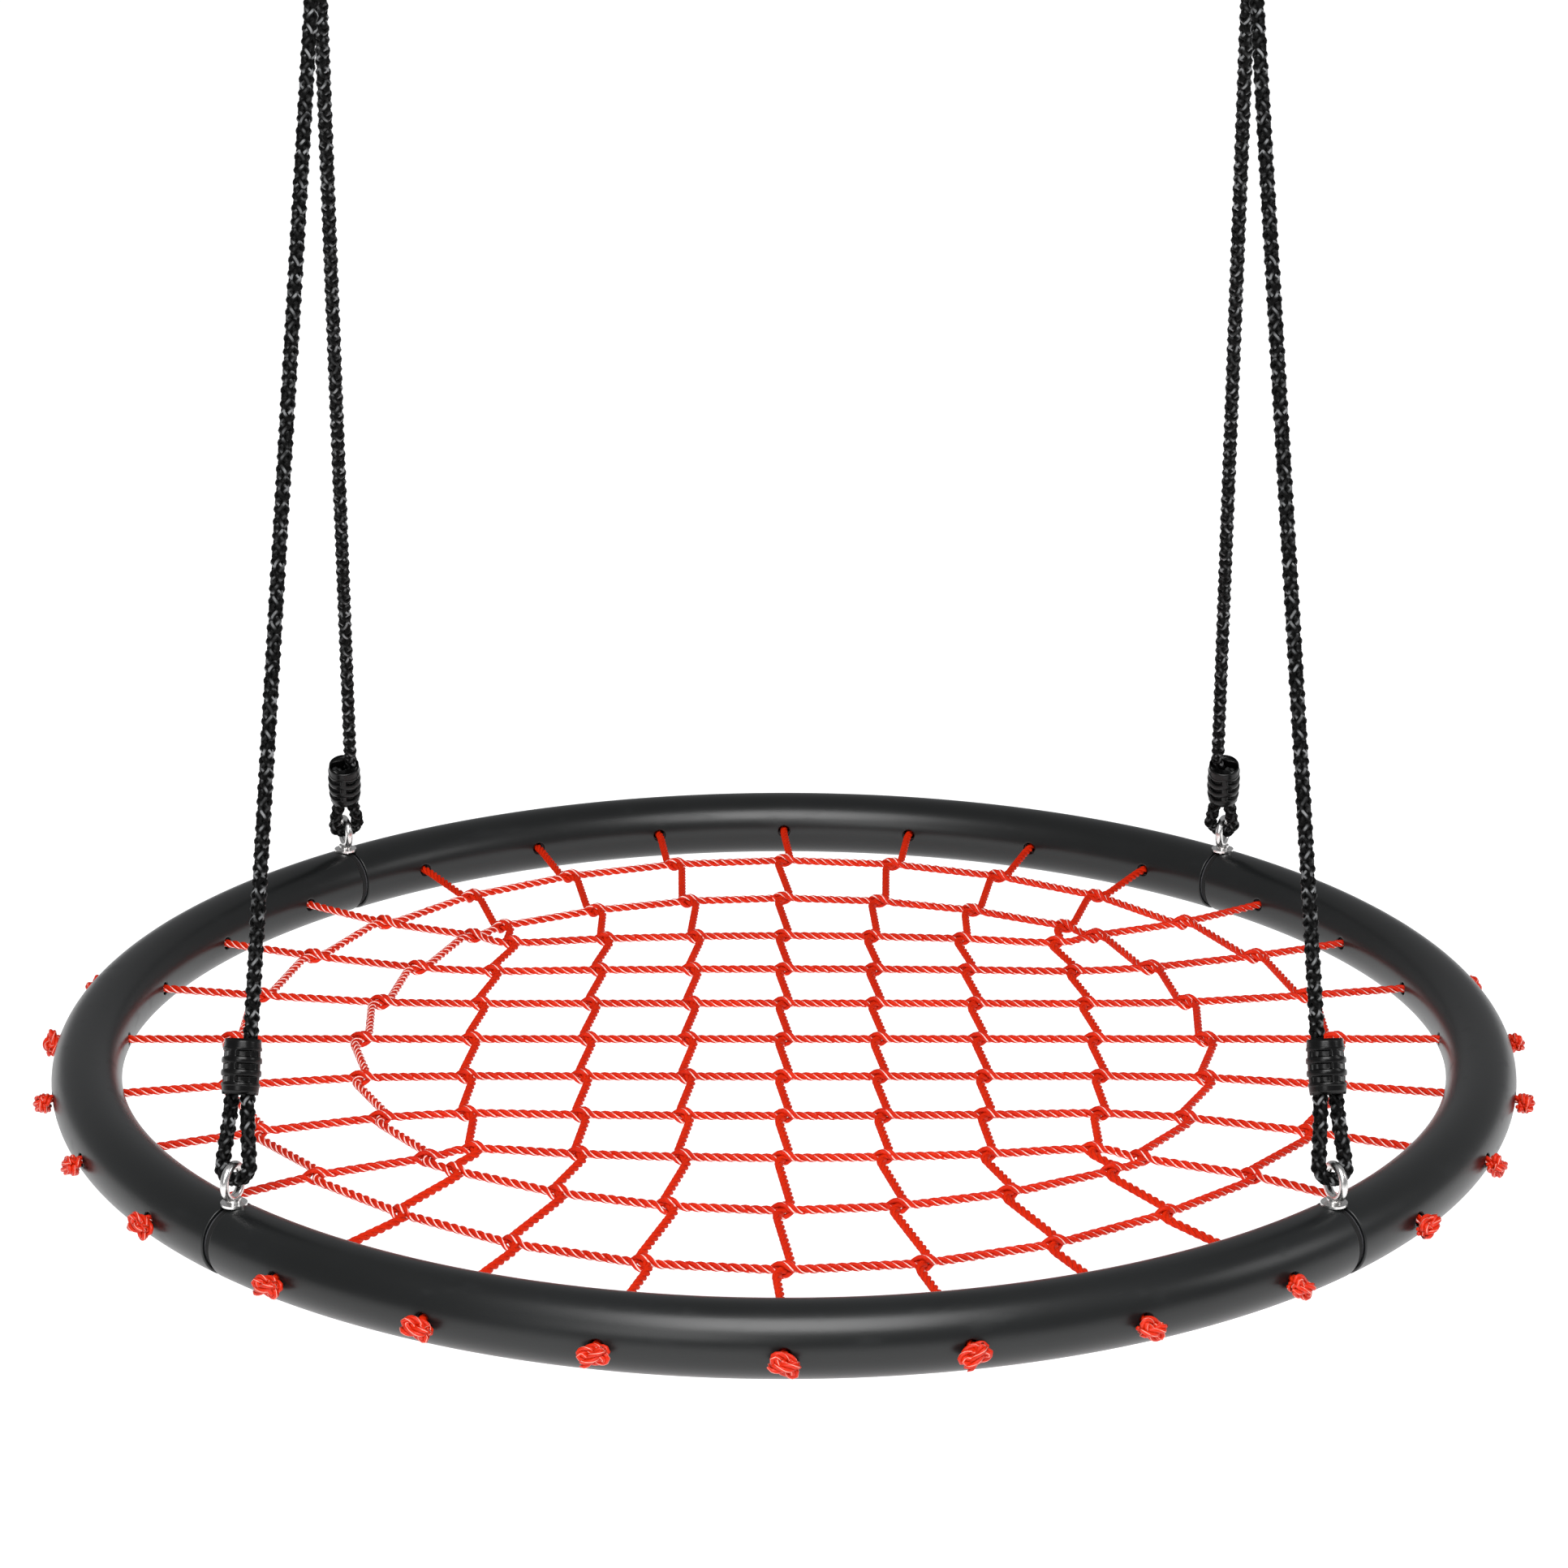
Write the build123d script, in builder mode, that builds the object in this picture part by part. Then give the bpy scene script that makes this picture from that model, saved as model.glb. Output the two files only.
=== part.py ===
from build123d import *
import os
from math import atan2, cos, degrees, pi, radians, sin

# Round rope-net swing. A padded tube ring in four quarters carries a taut net of
# twisted rope, and two braided ropes hang it from four eyebolts, one at each seam.
# Each rope runs over a steel ring that a carabiner holds.
# Units are millimetres. +Z is up, +X is the rider's right, -Y is the front.
# The origin lies midway between the points where the two carabiners bear on their
# hooks, so the whole swing hangs below it.

os.makedirs("parts", exist_ok=True)

# ---- Driving dimensions ----------------------------------------------------------

# Ring: steel core tube, foam padding, smooth plastic cover
ring_radius = 485.0
cover_diameter = 48.0
cover_wall = 2.5
padding_diameter = 42.6
padding_bore = 32.4
core_diameter = 32.0
core_wall = 1.5
coupler_diameter = 28.6
coupler_wall = 1.6
coupler_half_length = 45.0
cover_seam_gap = 5.0
core_seam_gap = 10.0
band_diameter = 44.0
band_bore = 29.0
band_width = 4.2
quarters = {"front": -90.0, "right": 0.0, "rear": 90.0, "left": 180.0}
seams = {"front_right": (1, -1), "rear_right": (1, 1), "rear_left": (-1, 1), "front_left": (-1, -1)}

# Net: seven ropes each way and two loops, all in the ring's mid-plane
net_rope_diameter = 6.0
net_hole_diameter = 9.0
ropes_each_side = 3
hole_step = 12.6
outer_loop_radius = 388.0
outer_loop_step = 12.9
inner_loop_radius = 298.0
inner_loop_growth = 0.007
inner_loop_step = 14.1
grid_step_x = 66.0
grid_growth_x = 0.8
grid_step_y = 70.3
grid_growth_y = 0.08
corner_pull = 0.00086
splice_diameter = 13.2
splice_height = 8.0
splice_gap = 0.3
bend_gap = 0.2
knot_diameter = 17.0
knot_height = 12.0

# Eyebolts, one through each seam
eye_height = 39.2
eye_wire = 5.6
eye_hole = 15.6
eye_turn = 22.0
shank_diameter = 8.0
shank_hole = 8.6
collar_diameter = 9.6
collar_height = 2.9
top_washer_diameter = 17.0
lower_washer_diameter = 17.0
washer_thickness = 1.5
nut_width = 13.0
nut_height = 4.6
nut_pocket = 19.0
shank_end = -22.8

# Hanging ropes and their length adjusters
hanging_rope_diameter = 10.0
apex_x = 302.0
apex_height = 783.0
leg_offset = 5.2
loop_half_width = 10.4
loop_radius = 8.0
loop_depth = 8.9
spread_radius = 40.0
spread_below_adjuster = 5.0
bight_radius = 9.4
bight_fillet = 9.3
adjuster_height = 34.5
adjuster_diameter = 24.8
adjuster_end_diameter = 23.0
adjuster_groove_diameter = 23.0
adjuster_groove_width = 3.6
adjuster_grooves = 3
adjuster_groove_step = 8.0
adjuster_bore_gap = 0.3
adjuster_up_front = 61.0
adjuster_up_rear = 43.0
tail_inside = 5.0

# Top rings and carabiners
top_ring_wire = 8.0
top_ring_radius = 21.0
carabiner_wire = 8.0
carabiner_radius = 16.0
carabiner_half_straight = 20.0
ring_seat_gap = 0.3
gate_pin_height = -13.0
gate_pin_diameter = 3.0
gate_pin_length = 8.4
gate_hole_diameter = 3.1
gate_diameter = 7.4
gate_foot = -7.5
gate_top = 19.6
lug_end = -9.6
lug_slot = 3.3
lug_slot_depth = 10.0
tongue_thickness = 2.8
tongue_width = 6.0
tongue_end = -17.0

# ---- Where the hanging gear lies -------------------------------------------------

side_axis = Vector(0, 1, 0)
up = Vector(0, 0, 1)
eye_radius = (eye_hole + eye_wire) / 2
eye_angle = radians(45 + eye_turn)
seam_offset = ring_radius * cos(radians(45))


def leg_frame(side, end, ring_z):
    """Place of one hanging leg: the eye's wire centre, the leg's run and its offset.

    Each eye is turned on its shank towards the pull of its leg. The leg passes beside the
    wire and points at the apex, so its run is found in a few rounds: the run sets where on
    the eye the rope pulls, and that sets the run.
    """
    eye_centre = Vector(side * seam_offset, end * seam_offset, ring_z + eye_height)
    apex = Vector(side * apex_x, 0, ring_z + apex_height)
    inward = Vector(-side * cos(eye_angle), -end * sin(eye_angle), 0)
    tangent = Vector(-side * sin(eye_angle), end * cos(eye_angle), 0)
    start = eye_centre
    for _ in range(4):
        run = (apex - start).normalized()
        in_eye_plane = (inward * run.dot(inward) + up * run.dot(up)).normalized()
        wire = eye_centre + in_eye_plane * eye_radius
        offset = (tangent - run * tangent.dot(run)).normalized()
        start = wire + offset * leg_offset
    return wire, run, offset


def side_frame(side, ring_z):
    """Force line of one side: the point where its two legs would cross, and its lean."""
    wire, run, offset = leg_frame(side, -1, ring_z)
    start = wire + offset * leg_offset
    crossing = start + run * (-start.Y / run.Y)
    lean = Vector(run.X, 0, run.Z).normalized()
    half_angle = radians(run.get_angle(lean))
    wire_centre = crossing - lean * (bight_radius / sin(half_angle))
    return wire_centre, lean, half_angle


ring_to_hook = (
    2 * top_ring_radius
    - top_ring_wire / 2
    - ring_seat_gap
    + 2 * (carabiner_half_straight + carabiner_radius)
    - carabiner_wire
)
lowest, lean_up, _ = side_frame(1, 0)
ring_z = -(lowest + lean_up * ring_to_hook).Z

bight_centre = {}
leans = {}
bight_angle = {}
top_ring_centre = {}
hook_point = {}
sides = {"left": -1, "right": 1}
for name, side in sides.items():
    bight_centre[name], leans[name], bight_angle[name] = side_frame(side, ring_z)
    top_ring_centre[name] = bight_centre[name] + leans[name] * top_ring_radius
    hook_point[name] = bight_centre[name] + leans[name] * ring_to_hook


def polar(radius, angle, z=0.0):
    """Point at a radius and an angle round the ring, above the ring's mid-plane."""
    return Vector(radius * cos(radians(angle)), radius * sin(radians(angle)), ring_z + z)


def outward(angle):
    """Level direction away from the ring's axis."""
    return Vector(cos(radians(angle)), sin(radians(angle)), 0)


def section_plane(angle):
    """Plane through the ring's axis: its x runs outwards and its y runs up."""
    return Plane(origin=(0, 0, ring_z), x_dir=outward(angle), z_dir=outward(angle).cross(up))


seam_angles = {seam: degrees(atan2(end, side)) for seam, (side, end) in seams.items()}


def finish(piece, name):
    """Labels a finished piece and writes it."""
    piece.part.label = name
    export_step(piece.part, f"parts/{name}.step")


# ---- Ring ------------------------------------------------------------------------

hole_angles = [hole_step * k for k in range(-ropes_each_side, ropes_each_side + 1)]


def net_hole_planes(middle):
    """Planes across the seven net holes of a quarter, facing outwards."""
    angles = [middle + a for a in hole_angles]
    return [Plane(origin=polar(ring_radius, a), z_dir=outward(a)) for a in angles]


def ring_arc(name, middle, outer, inner, seam_gap):
    """A quarter of a hollow ring with its net holes, bolt holes and nut pockets."""
    trim = degrees(seam_gap / 2 / ring_radius)
    with BuildPart() as arc:
        with BuildSketch(section_plane(middle - 45 + trim)):
            with Locations((ring_radius, 0)):
                Circle(outer / 2)
                Circle(inner / 2, mode=Mode.SUBTRACT)
        revolve(axis=Axis((0, 0, ring_z), (0, 0, 1)), revolution_arc=90 - 2 * trim)
        with Locations(*net_hole_planes(middle)):
            Cylinder(net_hole_diameter / 2, 2 * cover_diameter, mode=Mode.SUBTRACT)
        with Locations(polar(ring_radius, middle - 45), polar(ring_radius, middle + 45)):
            Cylinder(shank_hole / 2, 2 * cover_diameter, mode=Mode.SUBTRACT)
        if inner >= core_diameter:
            pockets = [polar(ring_radius, middle + a, -core_diameter / 2) for a in (-45, 45)]
            with Locations(*pockets):
                pocket_align = (Align.CENTER, Align.CENTER, Align.MAX)
                Cylinder(nut_pocket / 2, cover_diameter, align=pocket_align, mode=Mode.SUBTRACT)
    finish(arc, name)


for quarter, middle in quarters.items():
    cover_bore = cover_diameter - 2 * cover_wall
    core_bore = core_diameter - 2 * core_wall
    ring_arc(f"cover_{quarter}", middle, cover_diameter, cover_bore, cover_seam_gap)
    ring_arc(f"padding_{quarter}", middle, padding_diameter, padding_bore, cover_seam_gap)
    ring_arc(f"core_tube_{quarter}", middle, core_diameter, core_bore, core_seam_gap)

coupler_reach = degrees(coupler_half_length / ring_radius)
for seam in seams:
    with BuildPart() as coupler:
        with BuildSketch(section_plane(seam_angles[seam] - coupler_reach)):
            with Locations((ring_radius, 0)):
                Circle(coupler_diameter / 2)
                Circle(coupler_diameter / 2 - coupler_wall, mode=Mode.SUBTRACT)
        revolve(axis=Axis((0, 0, ring_z), (0, 0, 1)), revolution_arc=2 * coupler_reach)
        with Locations(polar(ring_radius, seam_angles[seam])):
            Cylinder(shank_hole / 2, cover_diameter, mode=Mode.SUBTRACT)
    finish(coupler, f"coupler_{seam}")

with BuildPart() as seam_bands:
    for seam in seams:
        with BuildSketch(section_plane(seam_angles[seam]).offset(-band_width / 2)):
            with Locations((ring_radius, 0)):
                Circle(band_diameter / 2)
                Circle(band_bore / 2, mode=Mode.SUBTRACT)
        extrude(amount=band_width)
        with Locations(polar(ring_radius, seam_angles[seam])):
            Cylinder(shank_hole / 2, 2 * cover_diameter, mode=Mode.SUBTRACT)
        with Locations(polar(ring_radius, seam_angles[seam], -core_diameter / 2)):
            band_align = (Align.CENTER, Align.CENTER, Align.MAX)
            Cylinder(nut_pocket / 2, cover_diameter, align=band_align, mode=Mode.SUBTRACT)
finish(seam_bands, "seam_bands")

# ---- Eyebolts with their washers and nuts ----------------------------------------

for seam, (side, end) in seams.items():
    angle = seam_angles[seam]
    with BuildPart() as eyebolt:
        eye_centre = polar(ring_radius, angle, eye_height)
        eye_normal = Vector(-side * sin(eye_angle), end * cos(eye_angle), 0)
        with Locations(Plane(origin=eye_centre, z_dir=eye_normal)):
            Torus(eye_radius, eye_wire / 2)
        with BuildSketch(Plane.XY.offset(ring_z + shank_end)):
            with Locations(polar(ring_radius, angle)):
                Circle(shank_diameter / 2)
        extrude(amount=eye_height - eye_radius - shank_end)
        with BuildSketch(Plane.XY.offset(ring_z + eye_height - eye_radius - collar_height)):
            with Locations(polar(ring_radius, angle)):
                Circle(collar_diameter / 2)
        extrude(amount=collar_height)
    finish(eyebolt, f"eyebolt_{seam}")

washer_places = [
    (cover_diameter / 2 + 0.1, top_washer_diameter),
    (-core_diameter / 2 - 0.1 - washer_thickness, lower_washer_diameter),
]
with BuildPart() as eye_washers:
    for height, diameter in washer_places:
        with BuildSketch(Plane.XY.offset(ring_z + height)):
            with Locations(*[polar(ring_radius, seam_angles[seam]) for seam in seams]):
                Circle(diameter / 2)
                Circle(shank_hole / 2, mode=Mode.SUBTRACT)
        extrude(amount=washer_thickness)
finish(eye_washers, "eye_washers")

nut_top = -core_diameter / 2 - washer_thickness - 0.2
with BuildPart() as eye_nuts:
    with BuildSketch(Plane.XY.offset(ring_z + nut_top)):
        with Locations(*[polar(ring_radius, seam_angles[seam]) for seam in seams]):
            RegularPolygon(nut_width / 2, 6, major_radius=False)
            Circle(shank_diameter / 2 + 0.05, mode=Mode.SUBTRACT)
    extrude(amount=-nut_height)
finish(eye_nuts, "eye_nuts")

# ---- Net -------------------------------------------------------------------------


def spoke(middle, k):
    """A net rope's end: outside the ring, the hole's inner mouth, and the two loops."""
    mouth = ring_radius - cover_diameter / 2
    inner = inner_loop_radius * (1 + inner_loop_growth * k * k)
    return [
        polar(ring_radius + cover_diameter / 2, middle + hole_step * k),
        polar(mouth, middle + hole_step * k),
        polar(outer_loop_radius, middle + outer_loop_step * k),
        polar(inner, middle + inner_loop_step * k),
    ]


def grid_node(i, j):
    """Crossing of cross rope j and long rope i, drawn in a little towards the corners."""
    pull = 1 - corner_pull * i * i * j * j
    x = (grid_step_x * i + grid_growth_x * i**3) * pull
    y = (grid_step_y * j + grid_growth_y * j**3) * pull
    return Vector(x, y, ring_z)


ropes = range(-ropes_each_side, ropes_each_side + 1)
first_splice = 2  # the points before it are the outer end and the hole's mouth


def rope_runs(points, closed=False):
    """Straight runs between a net rope's points, stopping short of each splice."""
    trims = [splice_diameter / 2 + splice_gap] * len(points)
    if closed:
        points = points + points[:1]
        trims = trims + trims[:1]
    else:
        trims[:first_splice] = [0.0, bend_gap]
        trims[-first_splice:] = [bend_gap, 0.0]
    run_align = (Align.CENTER, Align.CENTER, Align.MIN)
    for a, b, trim_a, trim_b in zip(points, points[1:], trims, trims[1:]):
        along = (b - a).normalized()
        with Locations(Plane(origin=a + along * trim_a, z_dir=along)):
            Cylinder(net_rope_diameter / 2, (b - a).length - trim_a - trim_b, align=run_align)


for n, j in enumerate(ropes, 1):
    with BuildPart() as cross_rope:
        left_end = spoke(quarters["left"], -j)
        right_end = spoke(quarters["right"], j)
        rope_runs(left_end + [grid_node(i, j) for i in ropes] + right_end[::-1])
    finish(cross_rope, f"net_cross_rope_{n}")

for n, i in enumerate(ropes, 1):
    with BuildPart() as long_rope:
        front_end = spoke(quarters["front"], i)
        rear_end = spoke(quarters["rear"], -i)
        rope_runs(front_end + [grid_node(i, j) for j in ropes] + rear_end[::-1])
    finish(long_rope, f"net_long_rope_{n}")

spokes = [spoke(middle, k) for middle in quarters.values() for k in ropes]
outer_nodes = [points[first_splice] for points in spokes]
inner_nodes = [points[first_splice + 1] for points in spokes]
grid_nodes = [grid_node(i, j) for i in ropes for j in ropes]

with BuildPart() as outer_loop:
    rope_runs(outer_nodes, closed=True)
finish(outer_loop, "net_outer_loop")

with BuildPart() as inner_loop:
    rope_runs(inner_nodes, closed=True)
finish(inner_loop, "net_inner_loop")

splice_nodes = {"net_loop_splices": outer_nodes + inner_nodes, "net_grid_splices": grid_nodes}
for name, nodes in splice_nodes.items():
    with BuildPart() as splices:
        with Locations(*nodes):
            Cylinder(splice_diameter / 2, splice_height)
    finish(splices, name)

for quarter, middle in quarters.items():
    knot_planes = []
    for a in hole_angles:
        face = polar(ring_radius + cover_diameter / 2 + splice_gap, middle + a)
        knot_planes.append(Plane(origin=face, z_dir=outward(middle + a)))
    with BuildPart() as end_knots:
        with Locations(*knot_planes):
            knot_align = (Align.CENTER, Align.CENTER, Align.MIN)
            Cylinder(knot_diameter / 2, knot_height, align=knot_align)
        chamfer(end_knots.edges().filter_by(GeomType.CIRCLE), knot_height / 4)
    finish(end_knots, f"end_knots_{quarter}")

# ---- Hanging ropes and adjusters -------------------------------------------------

adjuster_up = {-1: adjuster_up_front, 1: adjuster_up_rear}


def leg_route(side, end):
    """Corners of one leg, from its tail in the adjuster, round the eye, to the top."""
    wire, run, offset = leg_frame(side, end, ring_z)
    foot = adjuster_up[end] - adjuster_height / 2
    corners = [
        (-leg_offset, foot + adjuster_height - tail_inside),
        (-leg_offset, foot - spread_below_adjuster),
        (-loop_half_width, -loop_depth),
        (loop_half_width, -loop_depth),
        (leg_offset, foot - spread_below_adjuster),
    ]
    return [wire + offset * across + run * along for across, along in corners]


leg_radii = [spread_radius, loop_radius, loop_radius, spread_radius]
half_angle = bight_angle["left"]
bight_half_width = bight_radius * (1 - sin(half_angle)) / cos(half_angle)
bight_top = bight_centre["left"] + leans["left"] * bight_radius
bight_corners = [bight_top - side_axis * bight_half_width, bight_top + side_axis * bight_half_width]
route_corners = leg_route(-1, -1) + bight_corners + leg_route(-1, 1)[::-1]
route_radii = leg_radii + [bight_fillet, bight_fillet] + leg_radii[::-1]
with BuildPart() as hanging_rope_left:
    with BuildLine() as route:
        FilletPolyline(*route_corners, radius=route_radii)
    with BuildSketch(Plane(origin=route.wire() @ 0, z_dir=route.wire() % 0)):
        Circle(hanging_rope_diameter / 2)
    sweep(path=route.wire())
finish(hanging_rope_left, "hanging_rope_left")
rope_length = route.wire().length
tube_volume = pi * hanging_rope_diameter**2 / 4 * rope_length
print(f"hanging rope {rope_length:.1f} mm, volume share {hanging_rope_left.part.volume / tube_volume:.4f}")
print(f"its radii: {route_radii}")

with BuildPart() as hanging_rope_right:
    mirror(hanging_rope_left.part, about=Plane.YZ)
finish(hanging_rope_right, "hanging_rope_right")

for seam, (side, end) in seams.items():
    wire, run, offset = leg_frame(side, end, ring_z)
    foot_point = wire + run * (adjuster_up[end] - adjuster_height / 2)
    barrel_plane = Plane(origin=foot_point, x_dir=offset, z_dir=run)
    section_of_barrel = Plane(origin=foot_point, x_dir=offset, z_dir=offset.cross(run))
    with BuildPart() as adjuster:
        with BuildSketch(section_of_barrel):
            with BuildLine():
                half = adjuster_height / 2
                lower_edge = (adjuster_end_diameter / 2, 0)
                upper_edge = (adjuster_end_diameter / 2, adjuster_height)
                Line((0, 0), lower_edge)
                ThreePointArc(lower_edge, (adjuster_diameter / 2, half), upper_edge)
                Line(upper_edge, (0, adjuster_height))
                Line((0, adjuster_height), (0, 0))
            make_face()
        revolve(axis=Axis(foot_point, run))
        for n in range(adjuster_grooves):
            steps_up = n - (adjuster_grooves - 1) / 2
            groove_height = half + steps_up * adjuster_groove_step
            with BuildSketch(barrel_plane.offset(groove_height - adjuster_groove_width / 2)):
                Circle(adjuster_diameter)
                Circle(adjuster_groove_diameter / 2, mode=Mode.SUBTRACT)
            extrude(amount=adjuster_groove_width, mode=Mode.SUBTRACT)
        with BuildSketch(barrel_plane):
            SlotCenterToCenter(2 * leg_offset, hanging_rope_diameter + 2 * adjuster_bore_gap)
        extrude(amount=adjuster_height, mode=Mode.SUBTRACT)
    finish(adjuster, f"adjuster_{seam}")

# ---- Top rings and carabiners ----------------------------------------------------

gate_pins = []
for name in sides:
    with BuildPart() as top_ring:
        with Locations(Plane(origin=top_ring_centre[name], z_dir=side_axis)):
            Torus(top_ring_radius, top_ring_wire / 2)
    finish(top_ring, f"top_ring_{name}")

    lean = leans[name]
    bearing_to_centre = carabiner_half_straight + carabiner_radius - carabiner_wire / 2
    middle = hook_point[name] - lean * bearing_to_centre
    across = side_axis.cross(lean)
    clip = Plane(origin=middle, x_dir=side_axis, z_dir=across)
    pin_centre = middle + side_axis * carabiner_radius + lean * gate_pin_height
    pin_plane = Plane(origin=pin_centre, x_dir=side_axis, z_dir=across)
    gate_base = Plane(origin=middle + side_axis * carabiner_radius, x_dir=side_axis, z_dir=lean)

    with BuildPart() as carabiner:
        with BuildLine(clip) as hook_line:
            r, h = carabiner_radius, carabiner_half_straight
            Line((r, lug_end), (r, -h))
            ThreePointArc((r, -h), (0, -h - r), (-r, -h))
            Line((-r, -h), (-r, h))
            ThreePointArc((-r, h), (0, h + r), (r, h))
        with BuildSketch(gate_base.offset(lug_end)):
            Circle(carabiner_wire / 2)
        sweep(path=hook_line.wire())
        with Locations(pin_plane):
            Cylinder(gate_pin_diameter / 2, 2 * carabiner_wire, mode=Mode.SUBTRACT)
        with Locations(gate_base.offset(lug_end)):
            slot_align = (Align.CENTER, Align.CENTER, Align.MAX)
            Box(2 * carabiner_wire, lug_slot, lug_slot_depth, align=slot_align, mode=Mode.SUBTRACT)
    finish(carabiner, f"carabiner_{name}")

    with BuildPart() as gate:
        with BuildSketch(gate_base.offset(gate_foot)):
            Circle(gate_diameter / 2)
        extrude(amount=gate_top - gate_foot)
        with BuildSketch(gate_base.offset(tongue_end)):
            Rectangle(tongue_width, tongue_thickness)
        extrude(amount=gate_foot - tongue_end)
        with Locations(pin_plane):
            Cylinder(gate_hole_diameter / 2, 2 * carabiner_wire, mode=Mode.SUBTRACT)
    finish(gate, f"gate_{name}")
    gate_pins.append(pin_plane)

with BuildPart() as gate_pin_pair:
    with Locations(*gate_pins):
        Cylinder(gate_pin_diameter / 2, gate_pin_length)
finish(gate_pin_pair, "gate_pins")

print(f"ring mid-plane at z = {ring_z:.1f}, hooks at x = {hook_point['right'].X:.1f}")
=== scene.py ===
import logging
from dataclasses import dataclass
from enum import Enum
from math import atan2, ceil, cos, degrees, pi, radians, sin, sqrt, tau
from typing import Any, Sequence, Union

import bpy
import numpy as np
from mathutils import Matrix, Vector


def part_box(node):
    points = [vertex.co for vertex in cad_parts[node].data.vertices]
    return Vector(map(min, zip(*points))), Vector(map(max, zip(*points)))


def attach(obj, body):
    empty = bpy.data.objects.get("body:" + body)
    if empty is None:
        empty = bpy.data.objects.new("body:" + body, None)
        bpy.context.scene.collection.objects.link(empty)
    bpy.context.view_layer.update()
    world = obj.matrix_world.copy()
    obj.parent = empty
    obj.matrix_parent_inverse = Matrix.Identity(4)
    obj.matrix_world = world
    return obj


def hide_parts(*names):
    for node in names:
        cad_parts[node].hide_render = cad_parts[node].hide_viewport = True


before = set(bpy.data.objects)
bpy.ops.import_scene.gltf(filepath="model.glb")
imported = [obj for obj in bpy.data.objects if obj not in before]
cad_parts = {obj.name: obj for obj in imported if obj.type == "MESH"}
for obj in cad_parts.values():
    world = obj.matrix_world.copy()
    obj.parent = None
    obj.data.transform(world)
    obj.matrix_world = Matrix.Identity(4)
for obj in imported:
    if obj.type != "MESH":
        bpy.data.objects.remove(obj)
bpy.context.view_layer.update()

log = logging.getLogger("rope_net_swing")
Array = np.ndarray
MM = 0.001
UP = np.array([0.0, 0.0, 1.0])
QUARTERS = {"front": -90.0, "right": 0.0, "rear": 90.0, "left": 180.0}
SEAMS = {"front_right": (1, -1), "rear_right": (1, 1), "rear_left": (-1, 1), "front_left": (-1, -1)}
SIDES = {"left": -1, "right": 1}


# ---- Arrays and meshes -----------------------------------------------------------


def unit(vectors: Array) -> Array:
    """Vectors scaled to length one along their last axis."""
    return vectors / np.linalg.norm(vectors, axis=-1, keepdims=True)


def across(vectors: Array, directions: Array) -> Array:
    """What is left of each vector at right angles to its unit direction, at length one."""
    return unit(vectors - directions * np.sum(vectors * directions, axis=-1, keepdims=True))


def turn_about_up(points: Array, angle: float) -> Array:
    """Points turned about the vertical axis by an angle in degrees."""
    c, s = cos(radians(angle)), sin(radians(angle))
    return points @ np.array([[c, s, 0.0], [-s, c, 0.0], [0.0, 0.0, 1.0]])


def smooth_step(low: float, high: float, values: Array) -> Array:
    """0 below low and 1 above high, with the cubic 3t^2 - 2t^3 between."""
    t = np.clip((values - low) / (high - low), 0.0, 1.0)
    return t * t * (3.0 - 2.0 * t)


def polar(radius: float, angle: float) -> Array:
    """Point of the net's plane at a radius and an angle in degrees, in metres."""
    return np.array([radius * cos(radians(angle)), radius * sin(radians(angle)), 0.0])


def lengths_along(points: Array) -> Array:
    """Distance from the first point to each point, along the line through them."""
    steps = np.linalg.norm(np.diff(points, axis=0), axis=1)
    return np.concatenate([[0.0], np.cumsum(steps)])


def evenly(points: Array, step: float) -> tuple[Array, Array]:
    """Stations about a step apart along a line of points.

    Args:
        points: the line, one point a row.
        step: wanted distance between stations, in metres.

    Returns:
        The stations, and the distance of each along the line.
    """
    along = lengths_along(points)
    stations = np.linspace(0.0, along[-1], max(2, ceil(along[-1] / step)) + 1)
    return np.stack([np.interp(stations, along, points[:, k]) for k in range(3)], axis=1), stations


def spline_points(corners: Sequence[Array], closed: bool = False, detail: int = 24) -> Array:
    """Points of the smooth quadratic NURBS line whose control points are the corners.

    Args:
        corners: control points in metres.
        closed: whether the line joins its own start.
        detail: points that the spline gives for each corner.

    Returns:
        The spline's points, one a row; a closed line repeats its first point at the end.
    """
    curve = nurbs_curve("spline_for_reading", corners, closed, detail)
    holder = bpy.data.objects.new("spline_for_reading", curve)
    mesh = bpy.data.meshes.new_from_object(holder)
    points = np.zeros(len(mesh.vertices) * 3)
    mesh.vertices.foreach_get("co", points)
    bpy.data.meshes.remove(mesh)
    bpy.data.objects.remove(holder)
    bpy.data.curves.remove(curve)
    points = points.reshape(-1, 3)
    return np.concatenate([points, points[:1]]) if closed else points


def nurbs_curve(name: str, corners: Sequence[Array], closed: bool, detail: int) -> bpy.types.Curve:
    """A 3-D curve of one quadratic NURBS spline through the run of its corners."""
    curve = bpy.data.curves.new(name, "CURVE")
    curve.dimensions = "3D"
    curve.resolution_u = detail
    spline = curve.splines.new("NURBS")
    spline.points.add(len(corners) - 1)
    flat = np.concatenate([np.asarray(corners, float), np.ones((len(corners), 1))], axis=1)
    spline.points.foreach_set("co", flat.ravel())
    spline.order_u = 3
    spline.use_cyclic_u = closed
    spline.use_endpoint_u = not closed
    return curve


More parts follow.
